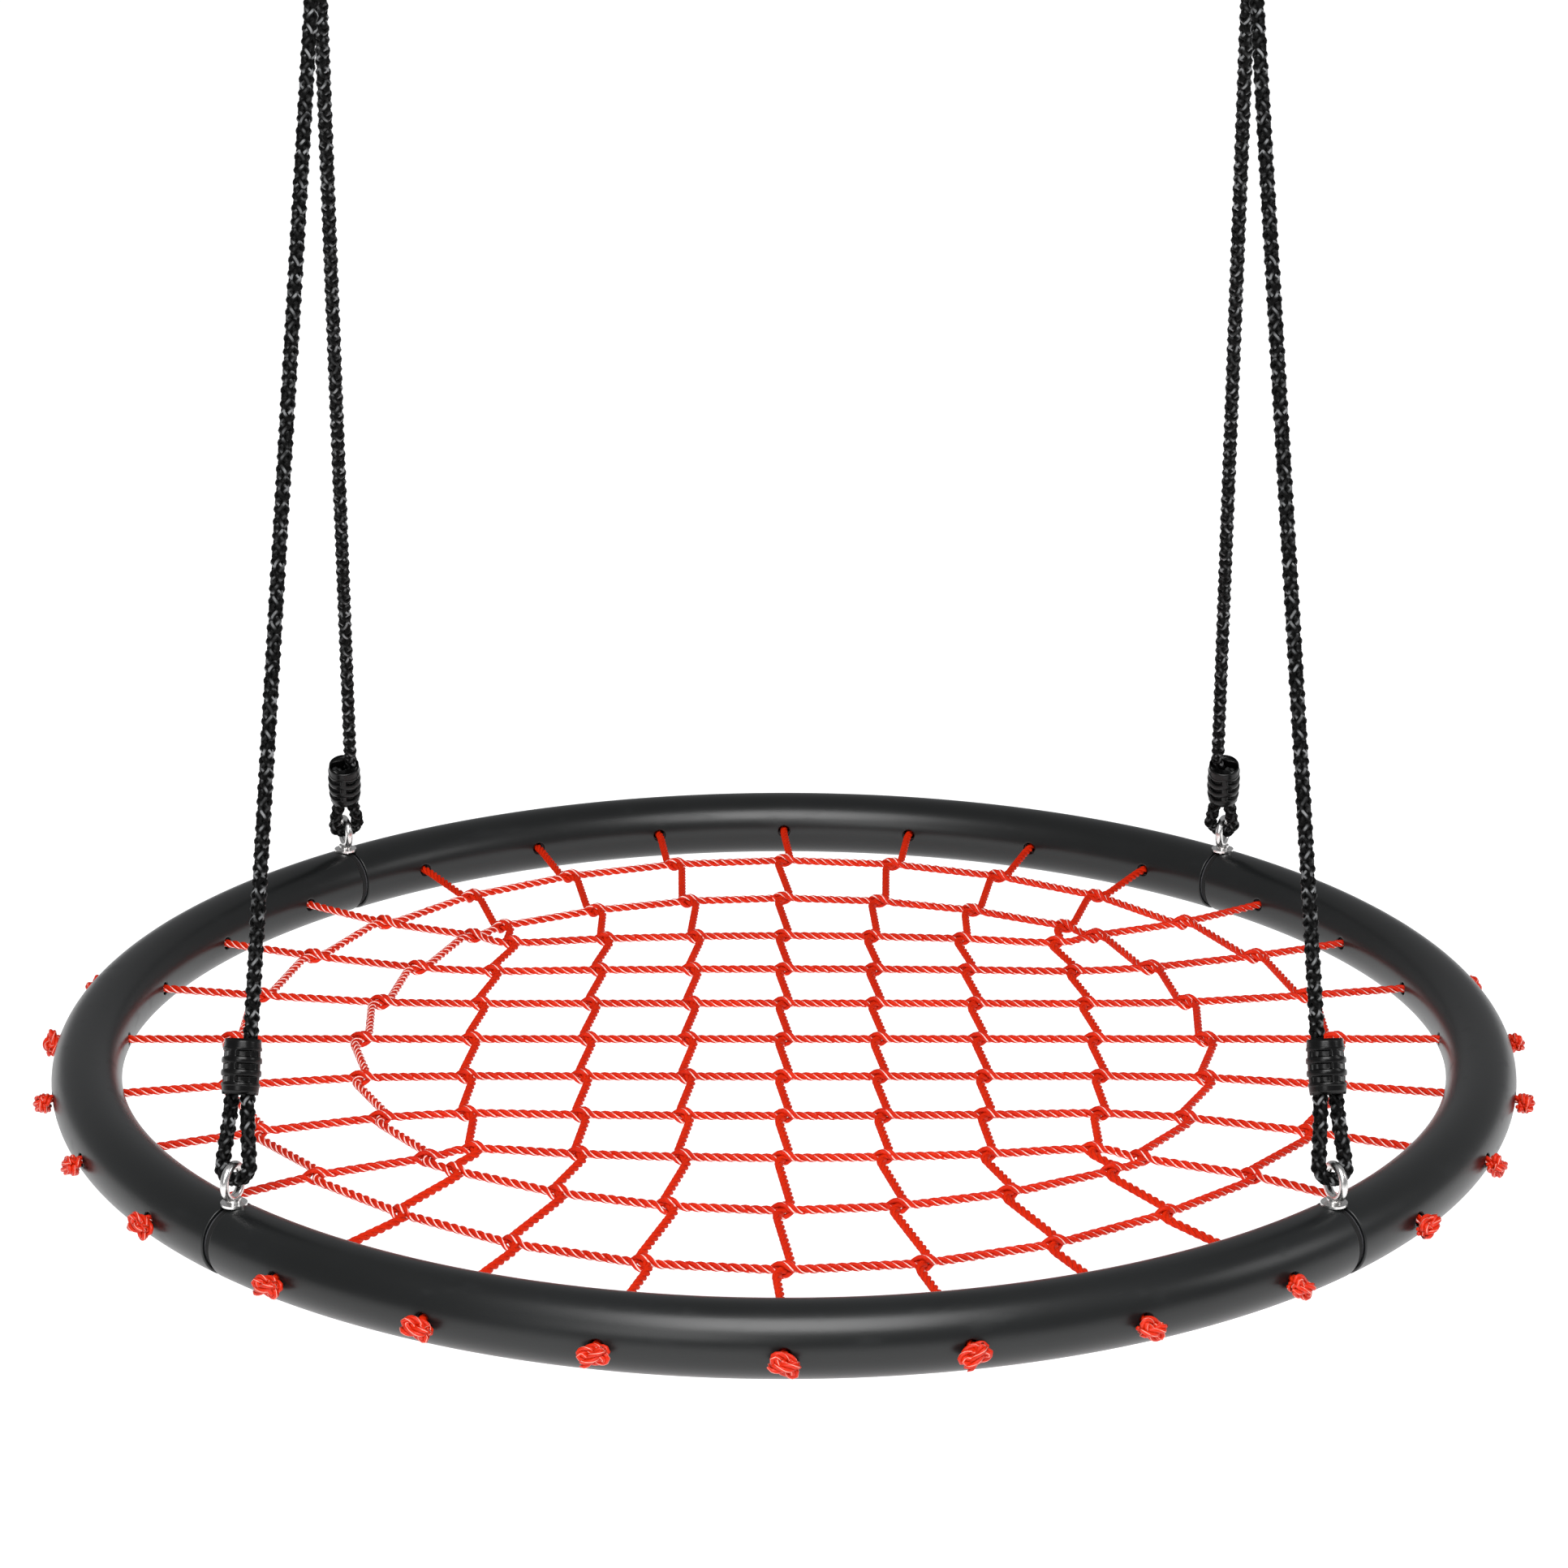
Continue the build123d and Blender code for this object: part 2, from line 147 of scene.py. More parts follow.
class Patchwork:
    """Grids of points gathered into one mesh, in which points that coincide are one."""

    def __init__(self) -> None:
        """Starts with no points and no faces."""
        self._points: list[Array] = []
        self._textures: list[Array] = []
        self._faces: list[Array] = []
        self._count = 0

    def _add(self, points: Array, texture: Array | None) -> Array:
        """Stores points and their (u, v) pairs; returns their numbers in the points' layout."""
        layout = points.shape[:-1]
        size = int(np.prod(layout))
        pairs = np.zeros((size, 2)) if texture is None else np.broadcast_to(texture, layout + (2,))
        self._points.append(points.reshape(-1, 3))
        self._textures.append(pairs.reshape(-1, 2))
        numbers = np.arange(self._count, self._count + size).reshape(layout)
        self._count += size
        return numbers

    def grid(
        self, points: Array, texture: Array | None = None, inward: bool = False, keep: Array | None = None
    ) -> None:
        """Adds sheets of four-sided faces between neighbours on the last two axes.

        Args:
            points: an array (..., rows, columns, 3). The faces look along rows x columns.
            texture: (u, v) of each point, or None.
            inward: turns the faces to the other side.
            keep: which of the (rows - 1, columns - 1) faces are made, or None for all.
        """
        n = self._add(points, texture)
        quads = np.stack([n[..., :-1, :-1], n[..., 1:, :-1], n[..., 1:, 1:], n[..., :-1, 1:]], axis=-1)
        quads = quads[..., keep, :] if keep is not None else quads
        quads = quads.reshape(-1, 4)
        self._faces.append(quads[:, ::-1] if inward else quads)

    def fan(self, centres: Array, rims: Array, inward: bool = False) -> None:
        """Closes rims (..., columns, 3) with triangles to their centres (..., 3)."""
        middle = self._add(centres[..., None, :], None)
        rim = self._add(rims, None)
        tip = np.broadcast_to(middle, rim[..., :-1].shape)
        triangles = np.stack([tip, rim[..., :-1], rim[..., 1:]], axis=-1).reshape(-1, 3)
        self._faces.append(triangles[:, ::-1] if inward else triangles)

    def object(self, name: str) -> bpy.types.Object:
        """Makes the object: its points welded at a ten-thousandth of a millimetre, shaded smooth."""
        fine = np.round(np.concatenate(self._points) * 1e7).astype(np.int64)
        _, first, number = np.unique(fine, axis=0, return_index=True, return_inverse=True)
        points = np.concatenate(self._points)[first]
        textures = np.concatenate(self._textures)
        number = number.ravel()
        loops = np.concatenate([faces.ravel() for faces in self._faces])
        sizes = np.concatenate([np.full(len(faces), faces.shape[1]) for faces in self._faces])
        mesh = bpy.data.meshes.new(name)
        mesh.vertices.add(len(points))
        mesh.vertices.foreach_set("co", points.ravel())
        mesh.loops.add(len(loops))
        mesh.loops.foreach_set("vertex_index", number[loops])
        mesh.polygons.add(len(sizes))
        mesh.polygons.foreach_set("loop_start", np.concatenate([[0], np.cumsum(sizes)[:-1]]))
        mesh.update(calc_edges=True)
        mesh.polygons.foreach_set("use_smooth", np.ones(len(sizes), bool))
        layer = mesh.uv_layers.new(name="lay")
        layer.uv.foreach_set("vector", textures[loops].astype(np.float32).ravel())
        mesh.validate()
        piece = bpy.data.objects.new(name, mesh)
        bpy.context.scene.collection.objects.link(piece)
        return piece


def strand_tubes(
    work: Patchwork,
    centres: Array,
    outward: Array,
    width: float,
    thickness: float,
    sides: int,
    swell: Array | float = 1.0,
) -> None:
    """Sweeps an ellipse along each strand's centre line.

    A ring's point is centre + outward * thickness/2 * cos a + sideways * width/2 * sin a,
    where sideways is at right angles to outward and to the strand.

    Args:
        work: the patchwork that takes the tubes.
        centres: (strands, stations, 3) centre lines.
        outward: (strands, stations, 3) directions away from the rope's own centre.
        width: the strand's size along the rope's surface.
        thickness: its size outwards.
        sides: points round a strand.
        swell: how much larger the strand is at each station.
    """
    tangent = unit(np.gradient(centres, axis=1))
    outward = across(outward, tangent)
    sideways = np.cross(outward, tangent)
    a = np.linspace(0.0, tau, sides + 1)
    ellipse = outward[..., None, :] * (thickness / 2 * np.cos(a))[:, None]
    ellipse = ellipse + sideways[..., None, :] * (width / 2 * np.sin(a))[:, None]
    ellipse = ellipse * np.asarray(swell)[..., None, None]
    rings = centres[..., None, :] + ellipse
    along = np.concatenate([[0.0], np.cumsum(np.linalg.norm(np.diff(centres[0], axis=0), axis=1))])
    texture = np.stack(np.broadcast_arrays(a / tau, along[:, None]), axis=-1)
    work.grid(rings, np.broadcast_to(texture, rings.shape[:-1] + (2,)))
    for end, inward in ((0, False), (-1, True)):
        reach = tangent[:, end] * thickness * (-0.22 if end == 0 else 0.22)
        inner = centres[:, end, None] + reach[:, None] + ellipse[:, end] * 0.6
        work.grid(np.stack([rings[:, end], inner], axis=1), inward=not inward)
        work.fan(centres[:, end] + reach * 1.25, inner, inward)


# ---- Materials -------------------------------------------------------------------


class Shade:
    """A shader socket on which Python's arithmetic adds Math nodes."""

    def __init__(self, recipe: "Recipe", socket: bpy.types.NodeSocket) -> None:
        """Wraps one output socket of a recipe's node tree."""
        self.recipe = recipe
        self.socket = socket

    def _math(self, operation: str, first: Any, second: Any = None) -> "Shade":
        """The result of one Math node on two values or shades."""
        values = {0: first} if second is None else {0: first, 1: second}
        return self.recipe.node("ShaderNodeMath", {"operation": operation}, values)

    def __add__(self, other: "Number") -> "Shade":
        """self + other."""
        return self._math("ADD", self, other)

    def __radd__(self, other: "Number") -> "Shade":
        """other + self."""
        return self._math("ADD", other, self)

    def __sub__(self, other: "Number") -> "Shade":
        """self - other."""
        return self._math("SUBTRACT", self, other)

    def __rsub__(self, other: "Number") -> "Shade":
        """other - self."""
        return self._math("SUBTRACT", other, self)

    def __mul__(self, other: "Number") -> "Shade":
        """self * other."""
        return self._math("MULTIPLY", self, other)

    def __rmul__(self, other: "Number") -> "Shade":
        """other * self."""
        return self._math("MULTIPLY", other, self)

    def __pow__(self, other: "Number") -> "Shade":
        """self raised to other."""
        return self._math("POWER", self, other)

    def cosine(self) -> "Shade":
        """The cosine of an angle in radians."""
        return self._math("COSINE", self)

    def limits(self, low: float, high: float) -> "Shade":
        """0 at low and below, 1 at high and above, smooth between."""
        settings = {"interpolation_type": "SMOOTHSTEP"}
        return self.recipe.node("ShaderNodeMapRange", settings, {0: self, 1: low, 2: high})


Number = Union[Shade, float]
Colour = tuple[float, float, float]
Place = tuple[float, float, float]


class Recipe:
    """A material being made: its node tree and the Principled shader at its end."""

    def __init__(self, name: str) -> None:
        """Starts an empty tree with a Principled shader and the output."""
        self.material = bpy.data.materials.new(name)
        self.material.use_nodes = True
        self.tree = self.material.node_tree
        self.tree.nodes.clear()
        self.shader = self.tree.nodes.new("ShaderNodeBsdfPrincipled")
        output = self.tree.nodes.new("ShaderNodeOutputMaterial")
        self.tree.links.new(self.shader.outputs[0], output.inputs[0])

    def node(
        self, kind: str, settings: dict[str, Any], inputs: dict[Any, Any], output: Union[int, str] = 0
    ) -> Shade:
        """Adds one node.

        Args:
            kind: the node's type.
            settings: its properties, set first.
            inputs: values or shades for its sockets, by name or number.
            output: which of its outputs is wanted.

        Returns:
            That output as a shade.
        """
        made = self.tree.nodes.new(kind)
        for name, value in settings.items():
            setattr(made, name, value)
        for key, value in inputs.items():
            self.set_socket(made.inputs[key], value)
        return Shade(self, made.outputs[output])

    def set_socket(self, socket: bpy.types.NodeSocket, value: Any) -> None:
        """Links a shade to a socket, or writes a plain value into it."""
        if isinstance(value, Shade):
            self.tree.links.new(value.socket, socket)
        elif isinstance(value, tuple) and socket.type == "RGBA":
            socket.default_value = (*value, 1.0)
        else:
            socket.default_value = value

    def feed(self, **values: Any) -> None:
        """Sets the shader's sockets, named with underscores, to shades or plain values."""
        for key, value in values.items():
            self.set_socket(self.shader.inputs[key.replace("_", " ")], value)

    def place(self) -> Shade:
        """The point's place on the part."""
        return self.node("ShaderNodeTexCoord", {}, {}, "Object")

    def lay(self) -> tuple[Shade, Shade]:
        """Round the strand, from 0 to 1, and along it in metres."""
        pair = self.node("ShaderNodeUVMap", {"uv_map": "lay"}, {})
        apart = {"Vector": pair}
        return (
            self.node("ShaderNodeSeparateXYZ", {}, apart, "X"),
            self.node("ShaderNodeSeparateXYZ", {}, apart, "Y"),
        )

    def point(self, x: Number, y: Number, z: Number = 0.0) -> Shade:
        """A vector of three numbers or shades."""
        return self.node("ShaderNodeCombineXYZ", {}, {0: x, 1: y, 2: z})

    def stretched(self, place: Shade, scale: Colour) -> Shade:
        """A place multiplied along each axis."""
        return self.node("ShaderNodeVectorMath", {"operation": "MULTIPLY"}, {0: place, 1: scale})

    def noise(self, place: Shade, scale: float, detail: float = 2.0) -> Shade:
        """Soft noise from 0 to 1, with so many features to the metre."""
        return self.node("ShaderNodeTexNoise", {}, {"Vector": place, "Scale": scale, "Detail": detail})

    def cells(self, place: Shade, scale: float) -> Shade:
        """Distance to the nearest of scattered points."""
        return self.node("ShaderNodeTexVoronoi", {}, {"Vector": place, "Scale": scale}, "Distance")

    def blend(self, share: Number, first: Any, second: Any) -> Shade:
        """A colour between two, by a share from 0 to 1."""
        settings = {"data_type": "RGBA", "clamp_factor": True}
        return self.node("ShaderNodeMix", settings, {0: share, 6: first, 7: second}, 2)

    def bump(self, height: Shade, depth: float, under: Shade | None = None) -> Shade:
        """A normal from a height of 0 to 1 that stands for a depth in metres."""
        inputs: dict[str, Any] = {"Height": height, "Distance": depth, "Strength": 1.0}
        if under is not None:
            inputs["Normal"] = under
        return self.node("ShaderNodeBump", {}, inputs, "Normal")


@dataclass(frozen=True)
class MouldedPlastic:
    """Moulded plastic: a fine cast grain, faint clouding and a few rubbed patches."""

    name: str
    colour: Colour
    lighter: Colour
    roughness: float
    gloss: float
    grain_per_metre: float
    grain_depth: float

    def build(self) -> bpy.types.Material:
        """Makes the material."""
        recipe = Recipe(self.name)
        place = recipe.place()
        cloud = recipe.noise(place, 9.0, 3.0)
        rubbed = recipe.noise(recipe.stretched(place, (1.0, 1.0, 3.0)), 38.0, 5.0).limits(0.56, 0.74)
        grain = recipe.noise(place, self.grain_per_metre, 1.0)
        worn = cloud.limits(0.3, 0.75) * 0.6 + rubbed * 0.35
        recipe.feed(
            Base_Color=recipe.blend(worn, self.colour, self.lighter),
            Roughness=self.roughness + (cloud - 0.5) * 0.10 + rubbed * 0.06,
            Specular_IOR_Level=self.gloss,
            Normal=recipe.bump(grain, self.grain_depth),
        )
        return recipe.material


@dataclass(frozen=True)
class RopeYarn:
    """Twisted filament yarn: fine fibres along each strand and a pale glint at its edge, which is a painted
    highlight.
    """

    name: str
    colour: Colour
    deep: Colour
    glint: Colour
    glint_share: float
    glint_centre: float
    glint_width: float
    roughness: float
    gloss: float
    fibre_depth: float
    fibres: float = 9.0
    gaps: float = 0.32
    dashes: float = 240.0

    def build(self) -> bpy.types.Material:
        """Makes the material.

        The fibres are noise stretched 40 to 1 along a slant round the strand. The glint is a painted
        highlight: a pale band round the strand at glint_centre, broken up along it where noise is below
        gaps.
        """
        recipe = Recipe(self.name)
        around, along = recipe.lay()
        slant = around + along * 45.0
        turn = slant * tau
        place = recipe.point(turn.cosine() * 0.5, (turn - pi / 2).cosine() * 0.5, along * 18.0)
        fibre = recipe.noise(place, self.fibres, 2.0)
        cloud = recipe.noise(recipe.place(), 26.0, 2.0)
        # Painted highlight: pale colour in a band round each strand stands in for the lights' sheen.
        painted_glint_band = ((around - self.glint_centre) * tau).cosine().limits(cos(self.glint_width * tau), 1.0)
        along_noise = recipe.noise(recipe.point(0.0, 0.0, along), self.dashes, 1.0)
        broken = along_noise.limits(self.gaps, self.gaps + 0.2)
        shade = fibre.limits(0.3, 0.7) * 0.7 + cloud.limits(0.35, 0.7) * 0.3
        base = recipe.blend(shade, self.deep, self.colour)
        recipe.feed(
            Base_Color=recipe.blend(painted_glint_band * broken * self.glint_share, base, self.glint),
            Roughness=self.roughness + (fibre - 0.5) * 0.25,
            Specular_IOR_Level=self.gloss,
            Normal=recipe.bump(fibre, self.fibre_depth),
        )
        return recipe.material


@dataclass(frozen=True)
class PlatedMetal:
    """Plated or drawn metal: fine mottling of the plating and faint clouding."""

    name: str
    colour: Colour
    duller: Colour
    roughness: float
    spots_per_metre: float

    def build(self) -> bpy.types.Material:
        """Makes the material."""
        recipe = Recipe(self.name)
        place = recipe.place()
        spots = recipe.cells(place, self.spots_per_metre).limits(0.1, 0.7)
        cloud = recipe.noise(place, 70.0, 4.0)
        recipe.feed(
            Base_Color=recipe.blend(spots * 0.5 + cloud.limits(0.4, 0.7) * 0.5, self.colour, self.duller),
            Metallic=1.0,
            Roughness=self.roughness + (cloud - 0.5) * 0.16 + spots * 0.05,
            Normal=recipe.bump(cloud, 0.00006),
        )
        return recipe.material


@dataclass(frozen=True)
class CellFoam:
    """Closed-cell foam or rubber: small round cells over a soft matt surface."""

    name: str
    colour: Colour
    darker: Colour
    roughness: float
    cells_per_metre: float
    cell_depth: float

    def build(self) -> bpy.types.Material:
        """Makes the material."""
        recipe = Recipe(self.name)
        place = recipe.place()
        cells = recipe.cells(place, self.cells_per_metre)
        cloud = recipe.noise(place, 40.0, 3.0)
        recipe.feed(
            Base_Color=recipe.blend(cells * 0.6 + cloud * 0.3, self.colour, self.darker),
            Roughness=self.roughness + (cloud - 0.5) * 0.15,
            Normal=recipe.bump(cells, self.cell_depth),
        )
        return recipe.material


class Finish(Enum):
    """The swing's finishes, one for each kind of part."""

    COVER = MouldedPlastic(
        "cover_satin_black",
        colour=(0.0050, 0.0056, 0.0056),
        lighter=(0.0080, 0.0090, 0.0094),
        roughness=0.32,
        gloss=0.40,
        grain_per_metre=900.0,
        grain_depth=0.00003,
    )
    ADJUSTER = MouldedPlastic(
        "adjuster_gloss_black",
        colour=(0.0010, 0.0010, 0.0010),
        lighter=(0.0030, 0.0030, 0.0030),
        roughness=0.26,
        gloss=0.26,
        grain_per_metre=700.0,
        grain_depth=0.00003,
    )
    NET_CROSS = RopeYarn(
        "net_yarn_with_glint",
        colour=(0.68, 0.022, 0.001),
        deep=(0.46, 0.010, 0.001),
        # glint: painted highlight colour, drawn as thin pale lines along each strand
        glint=(1.0, 0.86, 0.80),
        glint_share=0.78,
        glint_centre=0.16,
        glint_width=0.060,
        roughness=0.5,
        gloss=0.12,
        fibre_depth=0.0002,
    )
    # The long ropes: nearly the same red yarn with a fainter, redder painted highlight, as these ropes
    # catch less of the lights.
    NET_LONG = RopeYarn(
        "net_yarn_faint_glint",
        colour=(0.65, 0.022, 0.001),
        deep=(0.48, 0.012, 0.001),
        glint=(0.90, 0.26, 0.14),
        glint_share=0.30,
        glint_centre=0.27,
        glint_width=0.07,
        roughness=0.6,
        gloss=0.08,
        fibre_depth=0.0002,
    )
    KNOT = RopeYarn(
        "knot_yarn",
        colour=(0.72, 0.026, 0.002),
        deep=(0.54, 0.014, 0.001),
        # glint: painted highlight, small pale lines on the knots' strands
        glint=(1.0, 0.62, 0.52),
        glint_share=0.65,
        glint_centre=0.03,
        glint_width=0.030,
        roughness=0.36,
        gloss=0.3,
        fibre_depth=0.0002,
    )
    BRAID = RopeYarn(
        "hanging_yarn_black",
        colour=(0.0020, 0.0020, 0.0020),
        deep=(0.0005, 0.0005, 0.0005),
        # glint: painted highlight, broken pale dashes on the crest of each strand
        glint=(0.26, 0.265, 0.27),
        glint_share=0.80,
        glint_centre=0.0,
        glint_width=0.10,
        roughness=0.42,
        gloss=0.08,
        fibre_depth=0.0003,
        gaps=0.46,
        dashes=150.0,
    )
    ZINC = PlatedMetal("bright_zinc", (0.86, 0.85, 0.84), (0.62, 0.61, 0.60), 0.20, 900.0)
    HANGER = PlatedMetal("hanger_zinc", (0.72, 0.73, 0.74), (0.52, 0.53, 0.54), 0.28, 500.0)
    CORE = PlatedMetal("galvanised_core", (0.50, 0.51, 0.52), (0.36, 0.37, 0.38), 0.42, 120.0)
    FOAM = CellFoam("padding_foam_grey", (0.10, 0.10, 0.11), (0.05, 0.05, 0.055), 0.85, 800.0, 0.0003)
    BAND = CellFoam("seam_rubber", (0.001, 0.001, 0.001), (0.002, 0.002, 0.002), 0.9, 2500.0, 0.00004)


class Wardrobe:
    """Gives each finish's material, made once."""

    def __init__(self) -> None:
        """Starts with no materials made."""
        self._made: dict[Finish, bpy.types.Material] = {}

    def dress(self, piece: bpy.types.Object, finish: Finish) -> None:
        """Puts a finish on a whole piece, new or carried over from the frame."""
        if finish not in self._made:
            self._made[finish] = finish.value.build()
        if not piece.data.materials:
            piece.data.materials.append(self._made[finish])
        for slot in piece.material_slots:
            slot.material = self._made[finish]


# ---- Ring ------------------------------------------------------------------------


@dataclass
class RingCover:
    """The smooth plastic cover: four quarters of a thin torus with holes for the net."""

    plane: float
    radius: float = 0.485
    outer: float = 0.024
    inner: float = 0.0215
    seam_gap: float = 0.0060
    hole: float = 0.0045
    hole_step: float = 12.6
    holes: int = 7
    lip: float = 0.0009
    hold: float = 0.0003
    column_step: float = 0.45
    row_step: float = 5.625
    patch_columns: int = 2
    patch_rows: int = 4

    def surface(self, angles: Array, rounds: Array, tube: Array | float) -> Array:
        """Torus points: radius + tube*cos(round) out along the angle, tube*sin(round) up."""
        out = self.radius + tube * np.cos(np.radians(rounds))
        height = tube * np.sin(np.radians(rounds))
        turns = np.radians(angles)
        parts = np.broadcast_arrays(out * np.cos(turns), out * np.sin(turns), height + self.plane)
        return np.stack(parts, axis=-1)

    def rim_angles(
        self, turns: Array, reach: Array | float, tube: Array | float, face: int
    ) -> tuple[Array, Array]:
        """The torus angles of points at a reach from a net hole's axis.

        Args:
            turns: where round the hole, in radians.
            reach: distance from the hole's axis.
            tube: the tube radius that the points lie on.
            face: 1 on the outside of the ring, -1 on its inside.

        Returns:
            Degrees from the hole along the ring, and degrees round the tube.
        """
        rise = np.arcsin(reach * np.sin(turns) / tube)
        out = self.radius + face * tube * np.cos(rise)
        offset = np.degrees(np.arcsin(reach * np.cos(turns) / out))
        rounds = np.degrees(rise)
        return offset, rounds if face > 0 else 180.0 - rounds

    def edge(self) -> tuple[Array, Array]:
        """The wall's rounded edge: distance back from the edge, and tube radius, at its points."""
        turn = np.radians([0.0, 30.0, 60.0, 90.0])
        back = self.lip * (1.0 - np.sin(turn))
        drop = self.lip * (1.0 - np.cos(turn))
        tube = np.concatenate([self.outer - drop, self.inner + drop[::-1]])
        return np.concatenate([back, back[::-1]]), tube

    def quarter(self, name: str, middle: float) -> bpy.types.Object:
        """One quarter of the cover, as a closed shell round its middle angle."""
        work = Patchwork()
        trim = degrees(self.seam_gap / 2 / self.radius)
        end = 45.0 - trim - degrees(self.lip / self.radius)
        hold = degrees(self.hold / self.radius)
        last = self.hole_step * (self.holes // 2) + self.hole_step / 2
        steps = round(2 * last / self.column_step)
        even = np.linspace(-last, last, steps + 1)
        angles = np.concatenate([[-end, -end + hold], even, [end - hold, end]])
        rounds = np.arange(-90.0, 270.0 + self.row_step / 2, self.row_step)
        keep = np.ones((len(angles) - 1, len(rounds) - 1), bool)
        per_hole = round(self.hole_step / self.column_step)
        columns = 2 + per_hole // 2 + per_hole * np.arange(self.holes)
        rows = {1: round(90.0 / self.row_step), -1: round(270.0 / self.row_step)}
        for column in columns:
            for face, row in rows.items():
                c, r = self.patch_columns, self.patch_rows
                keep[column - c : column + c, row - r : row + r] = False
                self._hole_patch(work, angles[column], face)
        for tube, inward in ((self.outer, False), (self.inner, True)):
            work.grid(self.surface(angles[:, None], rounds[None, :], tube), inward=inward, keep=keep)
        back, tube = self.edge()
        for side in (-1, 1):
            edge_angles = side * (45.0 - trim - np.degrees(back / self.radius))
            points = self.surface(edge_angles[:, None], rounds[None, :], tube[:, None])
            work.grid(points, inward=side < 0)
        piece = work.object(name)
        shift_piece(piece, turn=middle)
        return piece

    def _hole_patch(self, work: Patchwork, angle: float, face: int) -> None:
        """The skin round one net hole, from a frame of the main grid in to the rim, and its wall."""
        c, r = self.patch_columns, self.patch_rows
        over, down = np.arange(c, -c, -1), np.arange(r, -r, -1)
        frame_c = np.concatenate([np.full(r, c), over, np.full(2 * r, -c), -over, np.full(r + 1, c)])
        frame_r = np.concatenate(
            [np.arange(0, r), np.full(2 * c, r), down, np.full(2 * c, -r), np.arange(-r, 1)]
        )
        offset, rounds = frame_c * self.column_step, frame_r * self.row_step
        sideways = np.radians(offset) * (self.radius + face * self.outer)
        turns = np.unwrap(np.arctan2(self.outer * np.sin(np.radians(rounds)), sideways))
        share = np.array([0.0, 0.10, 0.32, 0.62, 1.0])[:, None]
        for tube, inward in ((self.outer, face < 0), (self.inner, face > 0)):
            rim = self.rim_angles(turns, self.hole + self.lip, tube, face)
            frame_rounds = rounds if face > 0 else 180.0 - rounds
            angles = rim[0] * (1 - share) + offset * share
            circles = rim[1] * (1 - share) + frame_rounds * share
            work.grid(self.surface(angle + angles, circles, tube), inward=inward)
        back, tube = self.edge()
        wall = self.rim_angles(turns[None, :], self.hole + back[:, None], tube[:, None], face)
        work.grid(self.surface(angle + wall[0], wall[1], tube[:, None]), inward=face > 0)

    def build(self, wardrobe: Wardrobe) -> None:
        """Makes, dresses and seats the four quarters."""
        for quarter, middle in QUARTERS.items():
            piece = self.quarter(f"cover_shell_{quarter}", middle)
            wardrobe.dress(piece, Finish.COVER)
            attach(piece, "seat")
            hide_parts(f"cover_{quarter}")
            log.info("%s: %d faces", piece.name, len(piece.data.polygons))


def shift_piece(piece: bpy.types.Object, turn: float) -> None:
    """Turns a mesh about the vertical through the origin, in its own points."""
    points = np.zeros(len(piece.data.vertices) * 3)
    piece.data.vertices.foreach_get("co", points)
    points = turn_about_up(points.reshape(-1, 3), turn)
    piece.data.vertices.foreach_set("co", points.ravel())
    piece.data.update()


# ---- Net -------------------------------------------------------------------------


@dataclass(frozen=True)
class Opening:
    """A place where a rope's strands part to let another rope through."""

    place: Array
    reach: float
    spread: float


